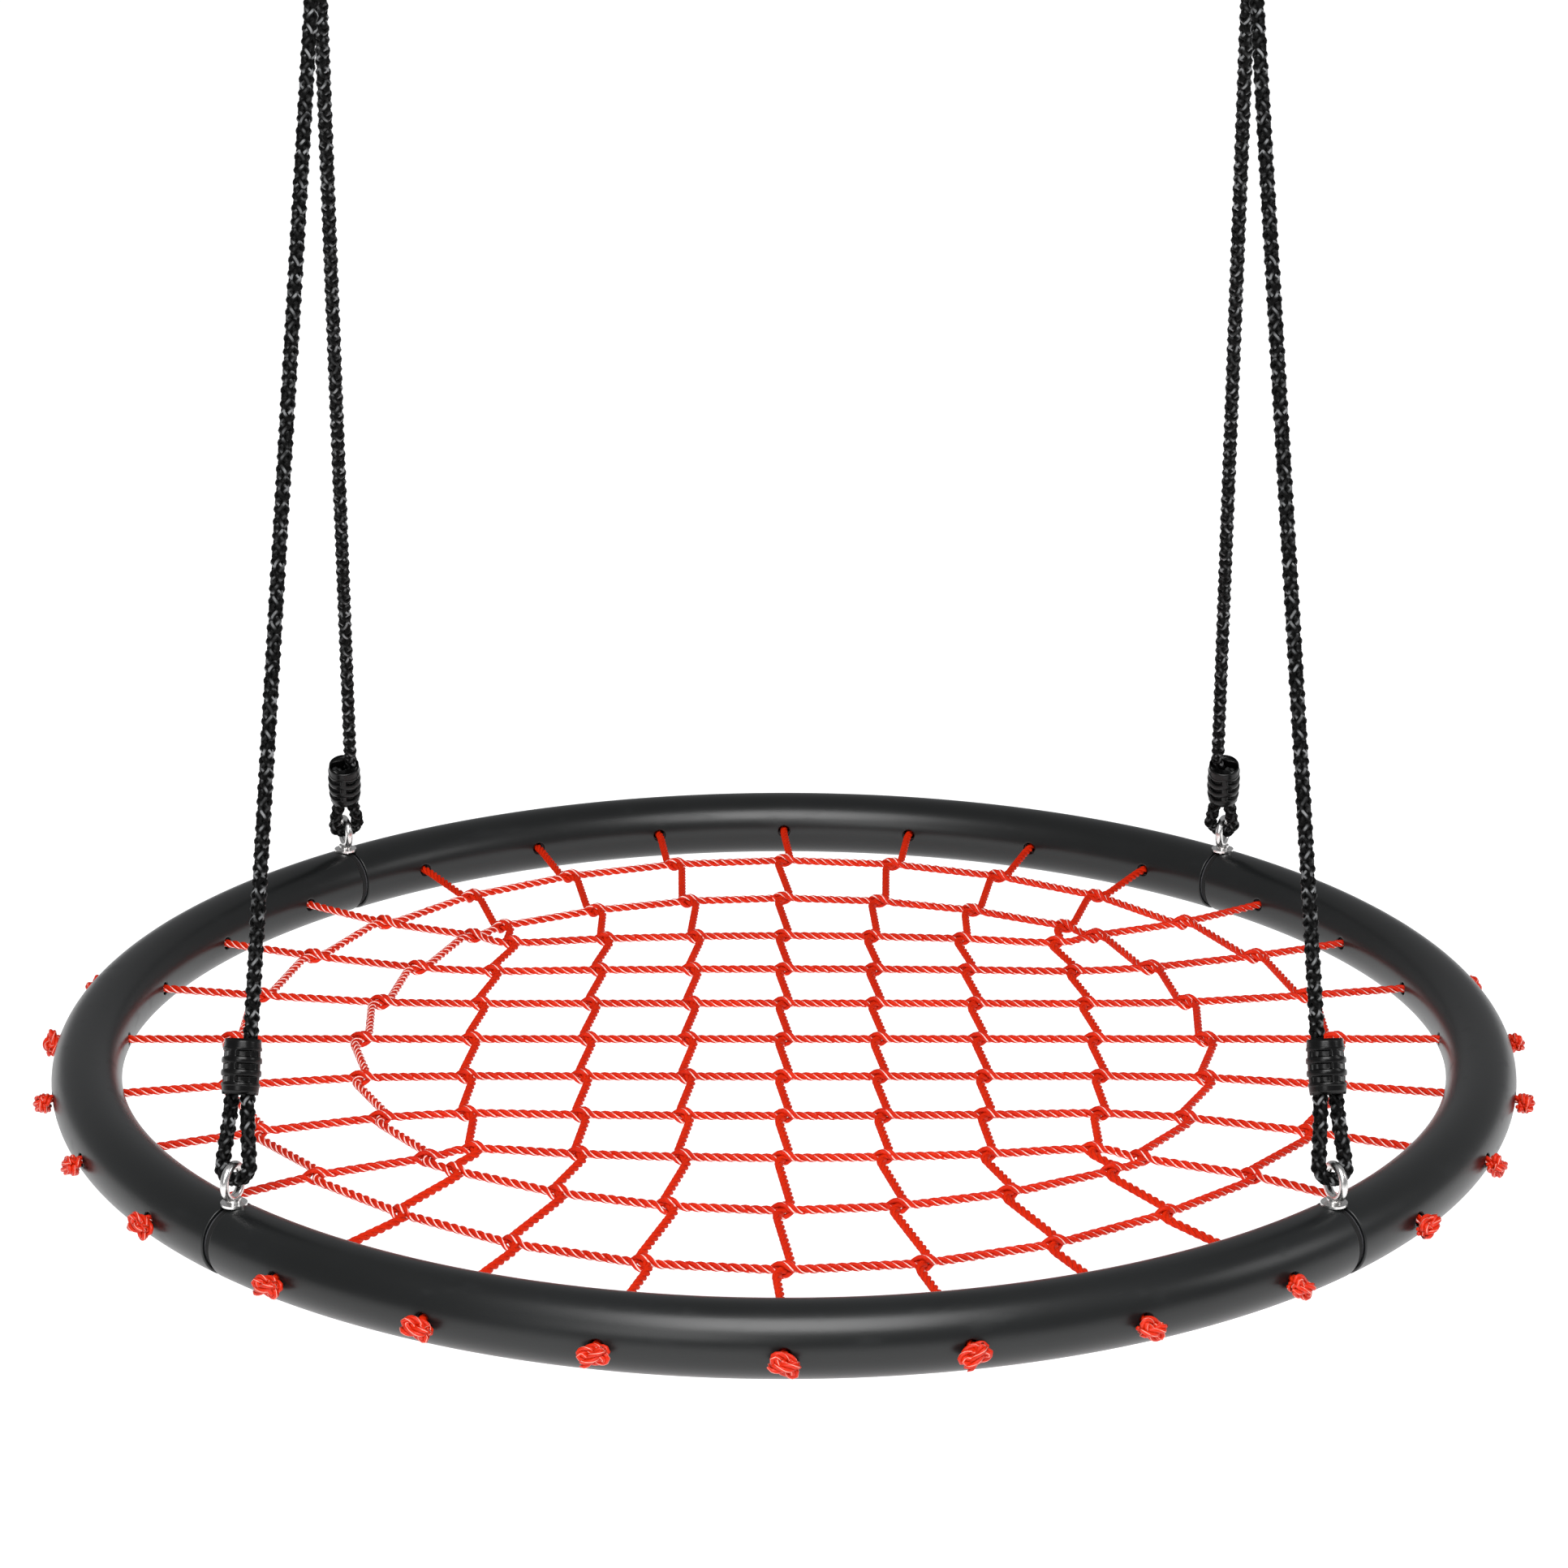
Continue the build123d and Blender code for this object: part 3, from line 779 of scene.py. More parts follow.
@dataclass
class ThreeStrandRope:
    """Rope laid from three strands, which may part round ropes that pass through it."""

    diameter: float = 0.0060
    pitch: float = 0.0205
    strand_share: float = 0.475
    swelling: float = 0.28
    sides: int = 8
    step: float = 0.0019

    def sweep(
        self, work: Patchwork, line: Array, openings: Sequence[Opening] = (), closed: bool = False
    ) -> None:
        """Lays the strands along a line in the net's plane.

        Strand k's centre is line + rho*(cos(phase + 120k)*side + sin(phase + 120k)*up). At an
        opening the phase is such that two strands are on top and one below, and each is
        lifted or lowered by the window (1 - (s/reach)^2)^2.

        Args:
            work: the patchwork that takes the strands.
            line: points along the rope's middle.
            openings: where other ropes pass through.
            closed: whether the line is a loop.
        """
        points, along = evenly(line, self.step)
        tangent = unit(np.gradient(points, axis=0))
        if closed:
            tangent[[0, -1]] = unit(points[1] - points[-2])
        side = np.cross(UP, tangent)
        places = self._stations(points, along, openings)
        phase = self._phase(along, places, closed)
        thirds = phase[None, :] + tau / 3 * np.arange(3)[:, None]
        rho = self.diameter / 2 * (1 - self.strand_share)
        rise, sway = rho * np.sin(thirds), rho * np.cos(thirds)
        swell = np.ones(len(along))
        for (station, opening), held in zip(places, np.interp([p[0] for p in places], along, phase)):
            gap = np.abs(along - station)
            gap = np.minimum(gap, along[-1] - gap) if closed else gap
            window = np.clip(1 - (gap / opening.reach) ** 2, 0, 1) ** 2
            roles = np.sin(held + tau / 3 * np.arange(3))
            lift = self.diameter * np.where(roles > 0, 0.48, -0.40)
            swell = swell + self.swelling * window
            apart = np.where(roles > 0, 0.35, -1.0) * opening.spread
            rise = rise + lift[:, None] * window
            sway = sway + apart[:, None] * window
        centres = points + rise[..., None] * UP + sway[..., None] * side
        outward = np.sin(thirds)[..., None] * UP + np.cos(thirds)[..., None] * side
        size = self.diameter * self.strand_share
        if closed:
            shift = round((phase[-1] - phase[0]) / (tau / 3)) % 3
            centres[:, -1] = np.roll(centres[:, 0], -shift, axis=0)
            self._closed_tubes(work, centres, outward, size * swell, shift)
        else:
            strand_tubes(work, centres, outward, size, size, self.sides, swell)

    def _closed_tubes(
        self, work: Patchwork, centres: Array, outward: Array, size: Array, shift: int
    ) -> None:
        """Sweeps strands of a loop, where each one's end is the next one's start."""
        order = np.arange(3)
        before = centres[(order - shift) % 3, -2:-1]
        after = centres[(order + shift) % 3, 1:2]
        longer = np.concatenate([before, centres, after], axis=1)
        tangent = unit(longer[:, 2:] - longer[:, :-2])
        outward = across(outward, tangent)
        sideways = np.cross(outward, tangent)
        a = np.linspace(0.0, tau, self.sides + 1)
        rings = centres[..., None, :] + size[:, None, None] / 2 * (
            outward[..., None, :] * np.cos(a)[:, None] + sideways[..., None, :] * np.sin(a)[:, None]
        )
        rings[:, -1] = np.roll(rings[:, 0], -shift, axis=0)
        along = lengths_along(centres[0])
        texture = np.stack(np.broadcast_arrays(a / tau, along[:, None]), axis=-1)
        work.grid(rings, np.broadcast_to(texture, rings.shape[:-1] + (2,)))

    def _stations(
        self, points: Array, along: Array, openings: Sequence[Opening]
    ) -> list[tuple[float, Opening]]:
        """Each opening with its distance along the rope, in order."""
        found = [along[np.argmin(np.linalg.norm(points - o.place, axis=1))] for o in openings]
        return sorted(zip(found, openings), key=lambda pair: pair[0])

    def _phase(self, along: Array, places: list[tuple[float, Opening]], closed: bool) -> Array:
        """The lay's angle along the rope: about a turn a pitch, and 30 degrees, or that and
        thirds of a turn more, at every opening."""
        if not places:
            return along / self.pitch * tau
        stations = np.array([p[0] for p in places])
        third = tau / 3
        turns = np.round(np.diff(stations) / self.pitch * 3) * third
        held = pi / 6 + np.concatenate([[0.0], np.cumsum(turns)])
        if closed:
            whole = held[-1] - held[0]
            rest = round((along[-1] - stations[-1] + stations[0]) / self.pitch * 3) * third
            stations = np.concatenate([[stations[-1] - along[-1]], stations, [stations[0] + along[-1]]])
            held = np.concatenate([[held[0] - rest], held, [held[0] + whole + rest]])
        else:
            first = held[0] - stations[0] / self.pitch * tau
            final = held[-1] + (along[-1] - stations[-1]) / self.pitch * tau
            stations = np.concatenate([[0.0], stations, [along[-1]]])
            held = np.concatenate([[first], held, [final]])
        return np.interp(along, stations, held)


@dataclass
class Net:
    """The rope net: seven ropes across, seven front to back, and two loops."""

    plane: float
    ring_radius: float = 0.485
    tube: float = 0.024
    each_side: int = 3
    hole_step: float = 12.6
    outer_loop: float = 0.388
    outer_step: float = 12.9
    inner_loop: float = 0.298
    inner_growth: float = 0.007
    inner_step: float = 14.1
    grid_x: float = 0.0660
    grid_x_growth: float = 0.0008
    grid_y: float = 0.0703
    grid_y_growth: float = 0.00008
    corner_pull: float = 0.00086
    sidestep: float = 0.0040
    loop_sidestep: float = 0.0050
    through: float = 0.0055
    knot_height: float = 0.0066

    def spoke(self, middle: float, k: int) -> list[Array]:
        """A rope's end: outside the ring, the hole's inner mouth, and the two loops."""
        inner = self.inner_loop * (1 + self.inner_growth * k * k)
        face = self.ring_radius + self.tube
        return [
            polar(face + self.knot_height, middle + self.hole_step * k),
            polar(self.ring_radius - self.tube, middle + self.hole_step * k),
            polar(self.outer_loop, middle + self.outer_step * k),
            polar(inner, middle + self.inner_step * k),
        ]

    def grid_node(self, i: int, j: int) -> Array:
        """Crossing of cross rope j and long rope i, drawn in towards the corners."""
        pull = 1 - self.corner_pull * i * i * j * j
        x = (self.grid_x * i + self.grid_x_growth * i**3) * pull
        y = (self.grid_y * j + self.grid_y_growth * j**3) * pull
        return np.array([x, y, 0.0])

    def raised(self, points: Sequence[Array]) -> Array:
        """Points of the net's plane, lifted to its height."""
        return np.asarray(points) + UP * self.plane

    def cross_corners(self, nodes: Sequence[Array]) -> Array:
        """Corners of a cross rope: it stays on its nodes, with a short straight piece at each."""
        return self._with_steps(nodes, [0.0] * len(nodes), 0.012)

    def _with_steps(
        self, nodes: Sequence[Array], steps: Sequence[float], half: float, closed: bool = False
    ) -> Array:
        """Corners of a rope that steps sideways as it passes each node.

        The corner before a node is node - along*half + side*step and the one after it is
        node + along*half - side*step, with along the mean direction there. A run that is
        over twice as long as the pass also has a point near each end, as far from its
        corner as the pass is long.

        Args:
            nodes: the crossings, with the rope's two ends unless it is closed.
            steps: how far sideways the rope steps at each node.
            half: half the length of the pass.
            closed: whether the rope is a loop.

        Returns:
            The corners, lifted to the net's height.
        """
        points = np.asarray([nodes[-1], *nodes, nodes[0]] if closed else nodes)
        along = unit(points[2:] - points[:-2])
        moved = np.asarray(steps if closed else steps[1:-1])[:, None] * np.cross(UP, along)
        before = points[1:-1] - along * half + moved
        after = points[1:-1] + along * half - moved
        starts = after if closed else np.concatenate([points[:1], after])
        ends = np.roll(before, -1, axis=0) if closed else np.concatenate([before, points[-1:]])
        length = np.linalg.norm(ends - starts, axis=1, keepdims=True)
        reach = (ends - starts) / length * 2 * half
        rows = np.stack([starts, starts + reach, ends - reach, ends], axis=1)
        keep = np.ones(rows.shape[:2], bool)
        keep[:, 1:3] = length > 4 * half
        if not closed:
            keep[0, 1] = keep[-1, 2] = False
        return self.raised(rows[keep])

    def cross_nodes(self, j: int) -> list[Array]:
        """All the points of cross rope j, from its left end to its right."""
        ropes = range(-self.each_side, self.each_side + 1)
        left, right = self.spoke(QUARTERS["left"], -j), self.spoke(QUARTERS["right"], j)
        return left + [self.grid_node(i, j) for i in ropes] + right[::-1]

    def long_nodes(self, i: int) -> list[Array]:
        """All the points of long rope i, from its front end to its rear."""
        ropes = range(-self.each_side, self.each_side + 1)
        front, rear = self.spoke(QUARTERS["front"], i), self.spoke(QUARTERS["rear"], -i)
        return front + [self.grid_node(i, j) for j in ropes] + rear[::-1]

    def opening(self, node: Array, at_loop: bool) -> Opening:
        """The parted lay at a node."""
        place = node + UP * self.plane
        return Opening(place, 0.0100, 0.0012) if at_loop else Opening(place, 0.0080, 0.0002)

    def build(self, wardrobe: Wardrobe) -> None:
        """Makes, dresses and seats the sixteen ropes."""
        rope = ThreeStrandRope()
        for number in range(1, 2 * self.each_side + 2):
            j = number - 1 - self.each_side
            nodes = self.cross_nodes(j)
            crossings = [self.opening(p, n in (0, 1, 9, 10)) for n, p in enumerate(nodes[2:-2])]
            line = spline_points(self.cross_corners(nodes))
            work = Patchwork()
            rope.sweep(work, line, crossings)
            replaced = [f"net_cross_rope_{number}"] + (["net_grid_splices"] if j == 0 else [])
            self._settle(work, f"cross_lay_{number}", wardrobe, Finish.NET_CROSS, replaced)
        for number in range(1, 2 * self.each_side + 2):
            i = number - 1 - self.each_side
            nodes = self.long_nodes(i)
            way = 1.0 if i >= 0 else -1.0
            at_loops = [0.0, 0.0, self.loop_sidestep * way, self.loop_sidestep * way]
            in_grid = [self.sidestep * way] * (2 * self.each_side + 1)
            steps = at_loops + in_grid + at_loops[::-1]
            line = spline_points(self._with_steps(nodes, steps, self.through))
            work = Patchwork()
            rope.sweep(work, line)
            replaced = [f"net_long_rope_{number}"]
            self._settle(work, f"long_lay_{number}", wardrobe, Finish.NET_LONG, replaced)
        for name, index, extra in (("outer", 2, ["net_loop_splices"]), ("inner", 3, [])):
            work = Patchwork()
            self._loop(work, rope, index)
            replaced = [f"net_{name}_loop", *extra]
            self._settle(work, f"{name}_loop_lay", wardrobe, Finish.NET_CROSS, replaced)

    def _loop(self, work: Patchwork, rope: ThreeStrandRope, index: int) -> None:
        """One loop: it passes through the cross ropes, and the long ropes pass through it."""
        ropes = range(-self.each_side, self.each_side + 1)
        nodes, steps, crossings = [], [], []
        for quarter, middle in QUARTERS.items():
            pierced = quarter in ("front", "rear")
            for k in ropes:
                node = self.spoke(middle, k)[index]
                nodes.append(node)
                steps.append(0.0 if pierced else -self.loop_sidestep * (1 if quarter == "right" else -1))
                if pierced:
                    crossings.append(self.opening(node, True))
        corners = self._with_steps(nodes, steps, self.through, closed=True)
        rope.sweep(work, spline_points(corners, closed=True), crossings, closed=True)

    def _settle(
        self, work: Patchwork, name: str, wardrobe: Wardrobe, finish: Finish, replaced: list[str]
    ) -> None:
        """Makes one rope's object and fixes it in the seat."""
        piece = work.object(name)
        wardrobe.dress(piece, finish)
        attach(piece, "seat")
        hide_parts(*replaced)
        log.info("%s: %d faces", name, len(piece.data.polygons))


@dataclass
class StopperKnots:
    """The overhand knot that holds each net rope's end outside the ring."""

    plane: float
    ring_face: float = 0.509
    hole_step: float = 12.6
    holes: int = 7
    wide: float = 0.0032
    deep: float = 0.0016
    sideways: float = 0.0074
    lift: float = 0.0064
    drop: float = 0.0028
    share: float = 0.94
    squat: float = 0.82
    lean: float = 34.0

    def line(self) -> Array:
        """The knot's centre line in its own frame: x out of the hole, y sideways, z up.

        It is most of a trefoil that winds twice round the sideways axis: at the angle 2t it
        is wide + deep*cos 3t from that axis, and sideways*sin 3t along it. Its size out of
        the hole is scaled by squat.
        """
        start = radians(100.0)
        t = np.linspace(start, start + tau * self.share, 110)
        reach = self.wide + self.deep * np.cos(3 * t)
        out = self.lift + self.squat * reach * np.cos(2 * t)
        return np.stack([out, self.sideways * np.sin(3 * t), reach * np.sin(2 * t)], axis=1)

    def lay_knot(self, work: Patchwork, angle: float, chance: np.random.Generator) -> None:
        """Lays one knot of three-strand rope at an angle of the ring."""
        rope = ThreeStrandRope(diameter=0.0062, pitch=0.024, step=0.0013)
        turn = radians(chance.uniform(-self.lean, self.lean))
        c, s = cos(turn), sin(turn)
        points, along = evenly(self.line(), rope.step)
        points = points @ np.array([[1, 0, 0], [0, c, s], [0, -s, c]])
        points = points * np.array([1.0, chance.uniform(0.94, 1.04), chance.uniform(0.92, 1.04)])
        tangent = unit(np.gradient(points, axis=0))
        first = across(np.array([1.0, 0.0, 0.0]) + 0 * points, tangent)
        second = np.cross(tangent, first)
        thirds = along / rope.pitch * tau + tau / 3 * np.arange(3)[:, None] + chance.uniform(0.0, tau)
        outward = np.cos(thirds)[..., None] * first + np.sin(thirds)[..., None] * second
        centres = points + outward * (rope.diameter / 2 * (1 - rope.strand_share))
        centres = centres + np.array([self.ring_face, 0, self.plane - self.drop])
        centres = turn_about_up(centres, angle)
        outward = turn_about_up(outward, angle)
        size = rope.diameter * rope.strand_share
        strand_tubes(work, centres, outward, size, size, rope.sides)

    def build(self, wardrobe: Wardrobe) -> None:
        """Makes the four groups of knots."""
        chance = np.random.default_rng(7)
        for quarter, middle in QUARTERS.items():
            work = Patchwork()
            for k in range(-(self.holes // 2), self.holes // 2 + 1):
                self.lay_knot(work, middle + self.hole_step * k, chance)
            piece = work.object(f"stopper_knots_{quarter}")
            wardrobe.dress(piece, Finish.KNOT)
            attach(piece, "seat")
            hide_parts(f"end_knots_{quarter}")
            log.info("%s: %d faces", piece.name, len(piece.data.polygons))


# ---- Hanging ropes and adjusters -------------------------------------------------


@dataclass
class HangingGeometry:
    """Where the legs, loops and top rings lie."""

    plane: float
    ring_radius: float = 0.485
    eye_height: float = 0.0392
    eye_radius: float = 0.0106
    eye_turn: float = 22.0
    apex_x: float = 0.302
    apex_height: float = 0.783
    leg_offset: float = 0.0052
    bight_radius: float = 0.0094
    loop_half_width: float = 0.0104
    loop_depth: float = 0.0089
    spread_below: float = 0.005
    adjuster_height: float = 0.0345
    adjuster_up_front: float = 0.061
    adjuster_up_rear: float = 0.043
    tail_inside: float = 0.005
    ring_clearance: float = 0.0010

    def leg(self, side: int, end: int) -> tuple[Vector, Vector, Vector]:
        """One leg's eye wire centre, its run and its offset, found in a few rounds."""
        seam = self.ring_radius * cos(radians(45))
        eye = Vector((side * seam, end * seam, self.plane + self.eye_height))
        apex = Vector((side * self.apex_x, 0, self.plane + self.apex_height))
        turned = radians(45.0 + self.eye_turn)
        inward = Vector((-side * cos(turned), -end * sin(turned), 0))
        tangent = Vector((-side * sin(turned), end * cos(turned), 0))
        above = Vector((0, 0, 1))
        start = eye
        for _ in range(4):
            run = (apex - start).normalized()
            in_eye_plane = (inward * run.dot(inward) + above * run.dot(above)).normalized()
            wire = eye + in_eye_plane * self.eye_radius
            offset = (tangent - run * tangent.dot(run)).normalized()
            start = wire + offset * self.leg_offset
        return wire, run, offset

    def foot(self, end: int) -> float:
        """How far up its leg an adjuster's foot is."""
        middle = self.adjuster_up_front if end < 0 else self.adjuster_up_rear
        return middle - self.adjuster_height / 2

    def leg_corners(self, side: int, end: int) -> list[Vector]:
        """Corners of one leg, from its tail in the adjuster, round the eye, and up."""
        wire, run, offset = self.leg(side, end)
        foot = self.foot(end)
        spread = foot - self.spread_below
        side_run = sqrt((self.loop_half_width - self.leg_offset) ** 2 + (spread + self.loop_depth) ** 2)
        part = 2 * self.loop_half_width / side_run
        near_x = self.loop_half_width + (self.leg_offset - self.loop_half_width) * part
        near_y = -self.loop_depth + (spread + self.loop_depth) * part
        corners = [
            (-self.leg_offset, foot + self.adjuster_height - self.tail_inside),
            (-self.leg_offset, spread),
            (-near_x, near_y),
            (-self.loop_half_width, -self.loop_depth),
            (self.loop_half_width, -self.loop_depth),
            (near_x, near_y),
            (self.leg_offset, spread),
            (self.leg_offset, spread + side_run),
        ]
        return [wire + offset * x + run * y for x, y in corners]

    def top(self, side: int) -> tuple[Vector, Vector, float]:
        """The top ring's lowest wire centre, the lean of the pull, and half the legs' angle."""
        wire, run, offset = self.leg(side, -1)
        start = wire + offset * self.leg_offset
        crossing = start + run * (-start.y / run.y)
        lean = Vector((run.x, 0, run.z)).normalized()
        half = run.angle(lean)
        return crossing - lean * (self.bight_radius / sin(half)), lean, half

    def route(self, side: int) -> Array:
        """All the corners of one hanging rope, from its front tail to its rear tail."""
        centre, lean, half = self.top(side)
        width = self.bight_radius * (1 - sin(half)) / cos(half)
        peak = centre + lean * (self.bight_radius + self.ring_clearance)
        across_top = Vector((0, width, 0))
        corners = self.leg_corners(side, -1)
        for end, corner in ((-1, peak - across_top), (1, peak + across_top)):
            down = -self.leg(side, end)[1]
            near = [corner + down * reach for reach in (0.060, 2 * width)]
            corners += [*near, corner] if end < 0 else [corner, *near[::-1]]
        corners += self.leg_corners(side, 1)[::-1]
        return np.array([tuple(c) for c in corners])


@dataclass
class BraidedRope:
    """A hanging rope: eight strands braided, four each way round, over one and under one."""

    diameter: float = 0.0106
    pitch: float = 0.0340
    each_way: int = 4
    strand_width: float = 0.0042
    strand_thickness: float = 0.0035
    weave: float = 0.00100
    sides: int = 6
    step: float = 0.00098

    def sweep(self, work: Patchwork, line: Array) -> None:
        """Lays the eight strands along a line.

        A strand's angle is +-(turns + k/4) and its distance from the middle is
        rho +- weave*cos(4 turns), so that the two ways are out where the others are in.
        """
        points, along = evenly(line, self.step)
        tangent = unit(np.gradient(points, axis=0))
        first = across(np.array([1.0, 0.0, 0.0]) + 0 * points, tangent)
        second = np.cross(tangent, first)
        turns = along / self.pitch * tau
        rho = self.diameter / 2 - self.strand_thickness / 2 - self.weave
        spread = tau / self.each_way * np.arange(self.each_way)[:, None]
        angle = np.concatenate([turns + spread, -turns - spread])
        sign = np.repeat([1.0, -1.0], self.each_way)[:, None]
        every_other = np.tile([1.0, -1.0], self.each_way)[:, None]
        crest = sign * np.cos(self.each_way * turns) * every_other
        reach = rho + self.weave * crest
        outward = np.cos(angle)[..., None] * first + np.sin(angle)[..., None] * second
        centres = points + outward * reach[..., None]
        strand_tubes(work, centres, outward, self.strand_width, self.strand_thickness, self.sides)

    def build(
        self, wardrobe: Wardrobe, geometry: HangingGeometry
    ) -> dict[str, tuple[bpy.types.Object, Array]]:
        """Makes and dresses both ropes; returns each with the line that it follows."""
        made = {}
        for name, side in SIDES.items():
            line = spline_points(geometry.route(side), detail=40)
            work = Patchwork()
            self.sweep(work, line)
            piece = work.object(f"hanging_braid_{name}")
            wardrobe.dress(piece, Finish.BRAID)
            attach(piece, f"{name}_rope")
            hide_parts(f"hanging_rope_{name}")
            made[name] = (piece, line)
            log.info("%s: %d faces, %.3f m", piece.name, len(piece.data.polygons), lengths_along(line)[-1])
        return made


class WindowStyle(Enum):
    """How the windows of an adjuster slant away from its spines, in metres of drop."""

    LEVEL = 0.0
    SLANTED = 0.0016


@dataclass
class Adjuster:
    """A rope length adjuster: a ribbed barrel with rows of windows and a slot bore."""

    geometry: HangingGeometry
    height: float = 0.0345
    end_radius: float = 0.0113
    belly: float = 0.0010
    edge: float = 0.0020
    window_height: float = 0.0036
    window_step: float = 0.0080
    window_depth: float = 0.0026
    wall: float = 0.0007
    rib_bulge: float = 0.0004
    spine_half: float = 13.0
    slot_half: float = 0.0052
    slot_radius: float = 0.0053
    columns: int = 120
    rows: int = 110

    def skin(self, turns: Array, heights: Array, style: WindowStyle, spine_turn: float) -> Array:
        """The barrel's radius at angles and heights.

        The belly is a parabola. Three rows of windows are cut back by window_depth, but
        not across the spines, and the ribs between them bulge by a half sine.
        """
        half = self.height / 2
        level = (heights - half) / half
        radius = self.end_radius + self.belly * (1 - level**2)
        from_spine = np.degrees(np.abs((turns - radians(spine_turn) + pi / 4) % (pi / 2) - pi / 4))
        open_here = smooth_step(self.spine_half - 4, self.spine_half + 3, from_spine)
        slanted = heights + style.value * (1 - np.cos(4 * (turns - radians(spine_turn)))) / 2
        row = (slanted - half + 1.5 * self.window_step) % self.window_step - self.window_step / 2
        in_rows = np.abs(slanted - half) < 1.5 * self.window_step
        cut = 1 - smooth_step(self.window_height / 2 - 0.0003, self.window_height / 2 + 0.0004, np.abs(row))
        rib = np.clip(np.abs(row) - self.window_height / 2, 0, None)
        rib = rib / (self.window_step - self.window_height)
        radius = radius - self.window_depth * cut * open_here * in_rows
        return radius + self.rib_bulge * np.sin(np.clip(rib * 2, 0, 1) * pi / 2) * in_rows

    def build_one(self, name: str, side: int, end: int) -> bpy.types.Object:
        """One adjuster as a closed ring of skin, top, bore and foot."""
        wire, run, offset = (np.array(v) for v in self.geometry.leg(side, end))
        foot = wire + run * self.geometry.foot(end)
        front = np.cross(run, offset)
        style = WindowStyle.LEVEL if end < 0 else WindowStyle.SLANTED
        spine_turn = degrees(atan2(-front[1], -offset[1])) + (22.0 * side if end < 0 else 0.0)
        turns = np.linspace(0.0, tau, self.columns + 1)
        bend = np.radians(np.linspace(0, 90, 5))
        curve = self.edge * (1 - np.sin(bend)), self.edge * (1 - np.cos(bend))
        middle = np.linspace(self.edge, self.height - self.edge, self.rows)
        heights = np.concatenate([curve[0], middle[1:-1], self.height - curve[0][::-1]])
        inset = np.concatenate([curve[1][::-1], np.zeros(self.rows - 2), curve[1]])
        radius = self.skin(turns[None, :], heights[:, None], style, spine_turn) - inset[:, None]
        slot = self._slot_outline(turns)
        radius = np.maximum(radius, np.hypot(*slot) + self.wall)
        x, y = radius * np.cos(turns), radius * np.sin(turns)
        rim = np.array([0.0, 0.0004, 0.0012])
        bore_heights = np.concatenate([self.height - rim, rim[::-1]])
        flare = np.array([0.0010, 0.0003, 0.0, 0.0, 0.0003, 0.0010])[:, None]
        bore_x = slot[0] + flare * np.cos(turns)
        bore_y = slot[1] + flare * np.sin(turns)
        xs = np.concatenate([x, bore_x, x[:1]])
        ys = np.concatenate([y, bore_y, y[:1]])
        hs = np.concatenate([heights, bore_heights, heights[:1]])[:, None] + 0 * xs
        points = foot + xs[..., None] * offset + ys[..., None] * front + hs[..., None] * run
        work = Patchwork()
        work.grid(points, inward=True)
        return work.object(name)

    def _slot_outline(self, turns: Array) -> tuple[Array, Array]:
        """The bore's outline: the point of a slot's edge straight out from the middle at each turn."""
        c, s = np.cos(turns), np.sin(turns)
        flat = self.slot_radius / np.maximum(np.abs(s), 1e-9)
        on_flat = np.abs(flat * c) <= self.slot_half
        b = self.slot_half * np.abs(c)
        round_end = b + np.sqrt(np.maximum(b**2 - self.slot_half**2 + self.slot_radius**2, 0))
        reach = np.where(on_flat, flat, round_end)
        return reach * c, reach * s

    def build(self, wardrobe: Wardrobe) -> dict[str, bpy.types.Object]:
        """Makes and dresses the four adjusters."""
        made = {}
        for seam, (side, end) in SEAMS.items():
            piece = self.build_one(f"adjuster_barrel_{seam}", side, end)
            wardrobe.dress(piece, Finish.ADJUSTER)
            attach(piece, f"adjuster_{seam}")
            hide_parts(f"adjuster_{seam}")
            made[seam] = piece
            log.info("%s: %d faces", piece.name, len(piece.data.polygons))
        return made


# ---- Fittings carried over from the frame ----------------------------------------


@dataclass
class Fittings:
    """The frame's own pieces that keep their shape and take a better finish."""

    finishes: tuple[tuple[str, Finish], ...] = (
        ("padding_", Finish.FOAM),
        ("core_tube_", Finish.CORE),
        ("coupler_", Finish.CORE),
        ("seam_bands", Finish.BAND),
        ("eyebolt_", Finish.ZINC),
        ("eye_washers", Finish.ZINC),
        ("eye_nuts", Finish.ZINC),
        ("carabiner_", Finish.HANGER),
        ("top_ring_", Finish.HANGER),
        ("gate_", Finish.HANGER),
    )

    def build(self, wardrobe: Wardrobe) -> None:
        """Dresses every frame piece that is still shown."""
        for name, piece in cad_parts.items():
            found = [finish for start, finish in self.finishes if name.startswith(start)]
            if found:
                wardrobe.dress(piece, found[0])
                log.info("%s keeps its shape, in %s", name, found[0].value.name)


# ---- Studio ----------------------------------------------------------------------


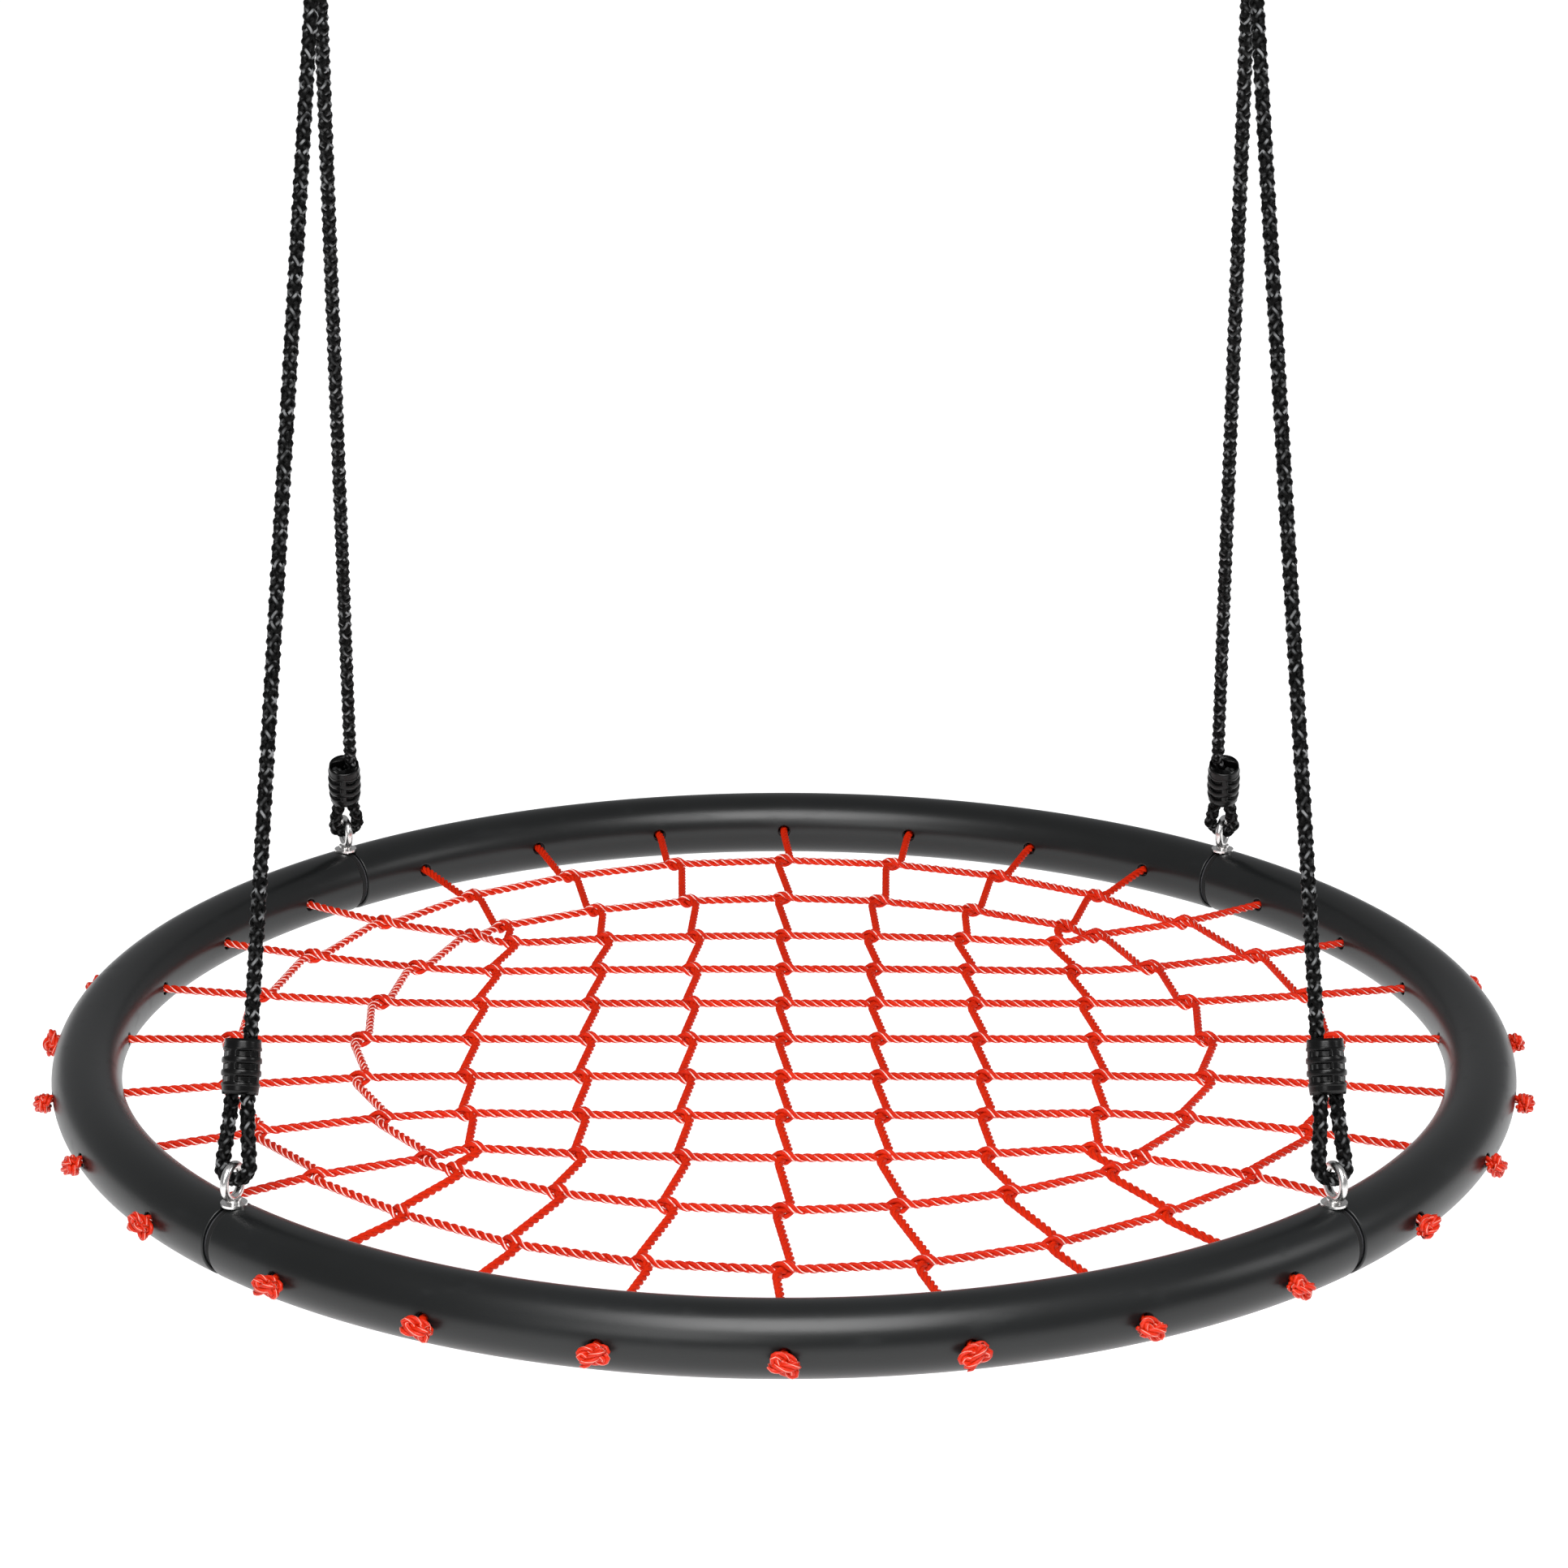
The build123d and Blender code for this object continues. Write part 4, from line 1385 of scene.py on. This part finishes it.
@dataclass
class Studio:
    """Camera, soft lights and the plain pale floor."""

    plane: float
    camera_place: Place = (0.0, -2.704, 1.0596)
    camera_tilt: float = 72.15
    lens: float = 94.44
    floor_drop: float = 0.50
    floor_half: float = 16.0
    floor_glow: float = 0.75
    floor_near: float = 0.36
    sky: float = 0.32

    def camera(self) -> None:
        """The camera at its place above the net's plane."""
        data = bpy.data.cameras.new("studio_camera")
        data.lens = self.lens
        data.sensor_width = 36.0
        data.clip_end = 100.0
        holder = bpy.data.objects.new("studio_camera", data)
        x, y, z = self.camera_place
        holder.location = (x, y, z + self.plane)
        holder.rotation_euler = (radians(self.camera_tilt), 0.0, 0.0)
        bpy.context.scene.collection.objects.link(holder)
        bpy.context.scene.camera = holder

    def area(self, name: str, place: Place, aim: Place, size: float, power: float) -> None:
        """One square soft light, aimed at a point above the net's plane."""
        data = bpy.data.lights.new(name, "AREA")
        data.shape = "SQUARE"
        data.size = size
        data.energy = power
        holder = bpy.data.objects.new(name, data)
        lifted = Vector((0, 0, self.plane))
        holder.location = Vector(place) + lifted
        holder.rotation_euler = (Vector(aim) - Vector(place)).to_track_quat("-Z", "Y").to_euler()
        bpy.context.scene.collection.objects.link(holder)

    def floor(self) -> None:
        """The floor: a level sheet with a glow that grows with the distance, so that it stays white."""
        side = np.linspace(-self.floor_half, self.floor_half, 41)
        x, y = np.meshgrid(side, side, indexing="ij")
        z = self.plane - self.floor_drop + 0 * x
        work = Patchwork()
        work.grid(np.stack([x, y, z], axis=-1))
        piece = work.object("studio_floor")
        recipe = Recipe("studio_floor_white")
        place = recipe.place()
        cloud = recipe.noise(place, 0.5, 1.0)
        distance = recipe.node("ShaderNodeVectorMath", {"operation": "LENGTH"}, {0: place}, "Value")
        glow = distance.limits(0.0, 3.0) * (1 - self.floor_near) + self.floor_near
        recipe.feed(
            Base_Color=recipe.blend(cloud, (0.93, 0.93, 0.93), (0.95, 0.95, 0.95)),
            Roughness=0.9,
            Specular_IOR_Level=0.0,
            Emission_Color=recipe.blend(glow, (0.0, 0.0, 0.0), (1.0, 1.0, 1.0)),
            Emission_Strength=self.floor_glow,
        )
        piece.data.materials.append(recipe.material)

    def build(self) -> None:
        """Sets the camera, the lights, the sky and the floor."""
        self.camera()
        self.floor()
        self.area("overhead_softbox", (0.0, -1.7, 2.3), (0.0, -0.1, 0.0), 1.7, 78.0)
        self.area("front_softbox", (-0.9, -3.0, 1.3), (0.0, 0.0, 0.2), 1.2, 15.0)
        self.area("side_softbox", (2.8, -0.6, 1.6), (0.0, 0.0, 0.2), 1.0, 10.0)
        world = bpy.data.worlds.new("studio_sky")
        world.use_nodes = True
        backdrop = world.node_tree.nodes["Background"]
        backdrop.inputs[0].default_value = (0.97, 0.98, 1.0, 1.0)
        backdrop.inputs[1].default_value = self.sky
        bpy.context.scene.world = world
        bpy.context.scene.view_settings.view_transform = "Standard"


# ---- The whole swing -------------------------------------------------------------


def main() -> None:
    """Builds the swing round the frame, one sub-assembly after another."""
    logging.basicConfig(level=logging.INFO, format="%(name)s: %(message)s")
    low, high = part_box("cover_front")
    plane = (low.z + high.z) / 2
    wardrobe = Wardrobe()
    geometry = HangingGeometry(plane)
    Studio(plane).build()
    ropes = BraidedRope().build(wardrobe, geometry)
    adjusters = Adjuster(geometry).build(wardrobe)
    RingCover(plane).build(wardrobe)
    Net(plane).build(wardrobe)
    StopperKnots(plane).build(wardrobe)
    Fittings().build(wardrobe)


if __name__ == "__main__":
    main()
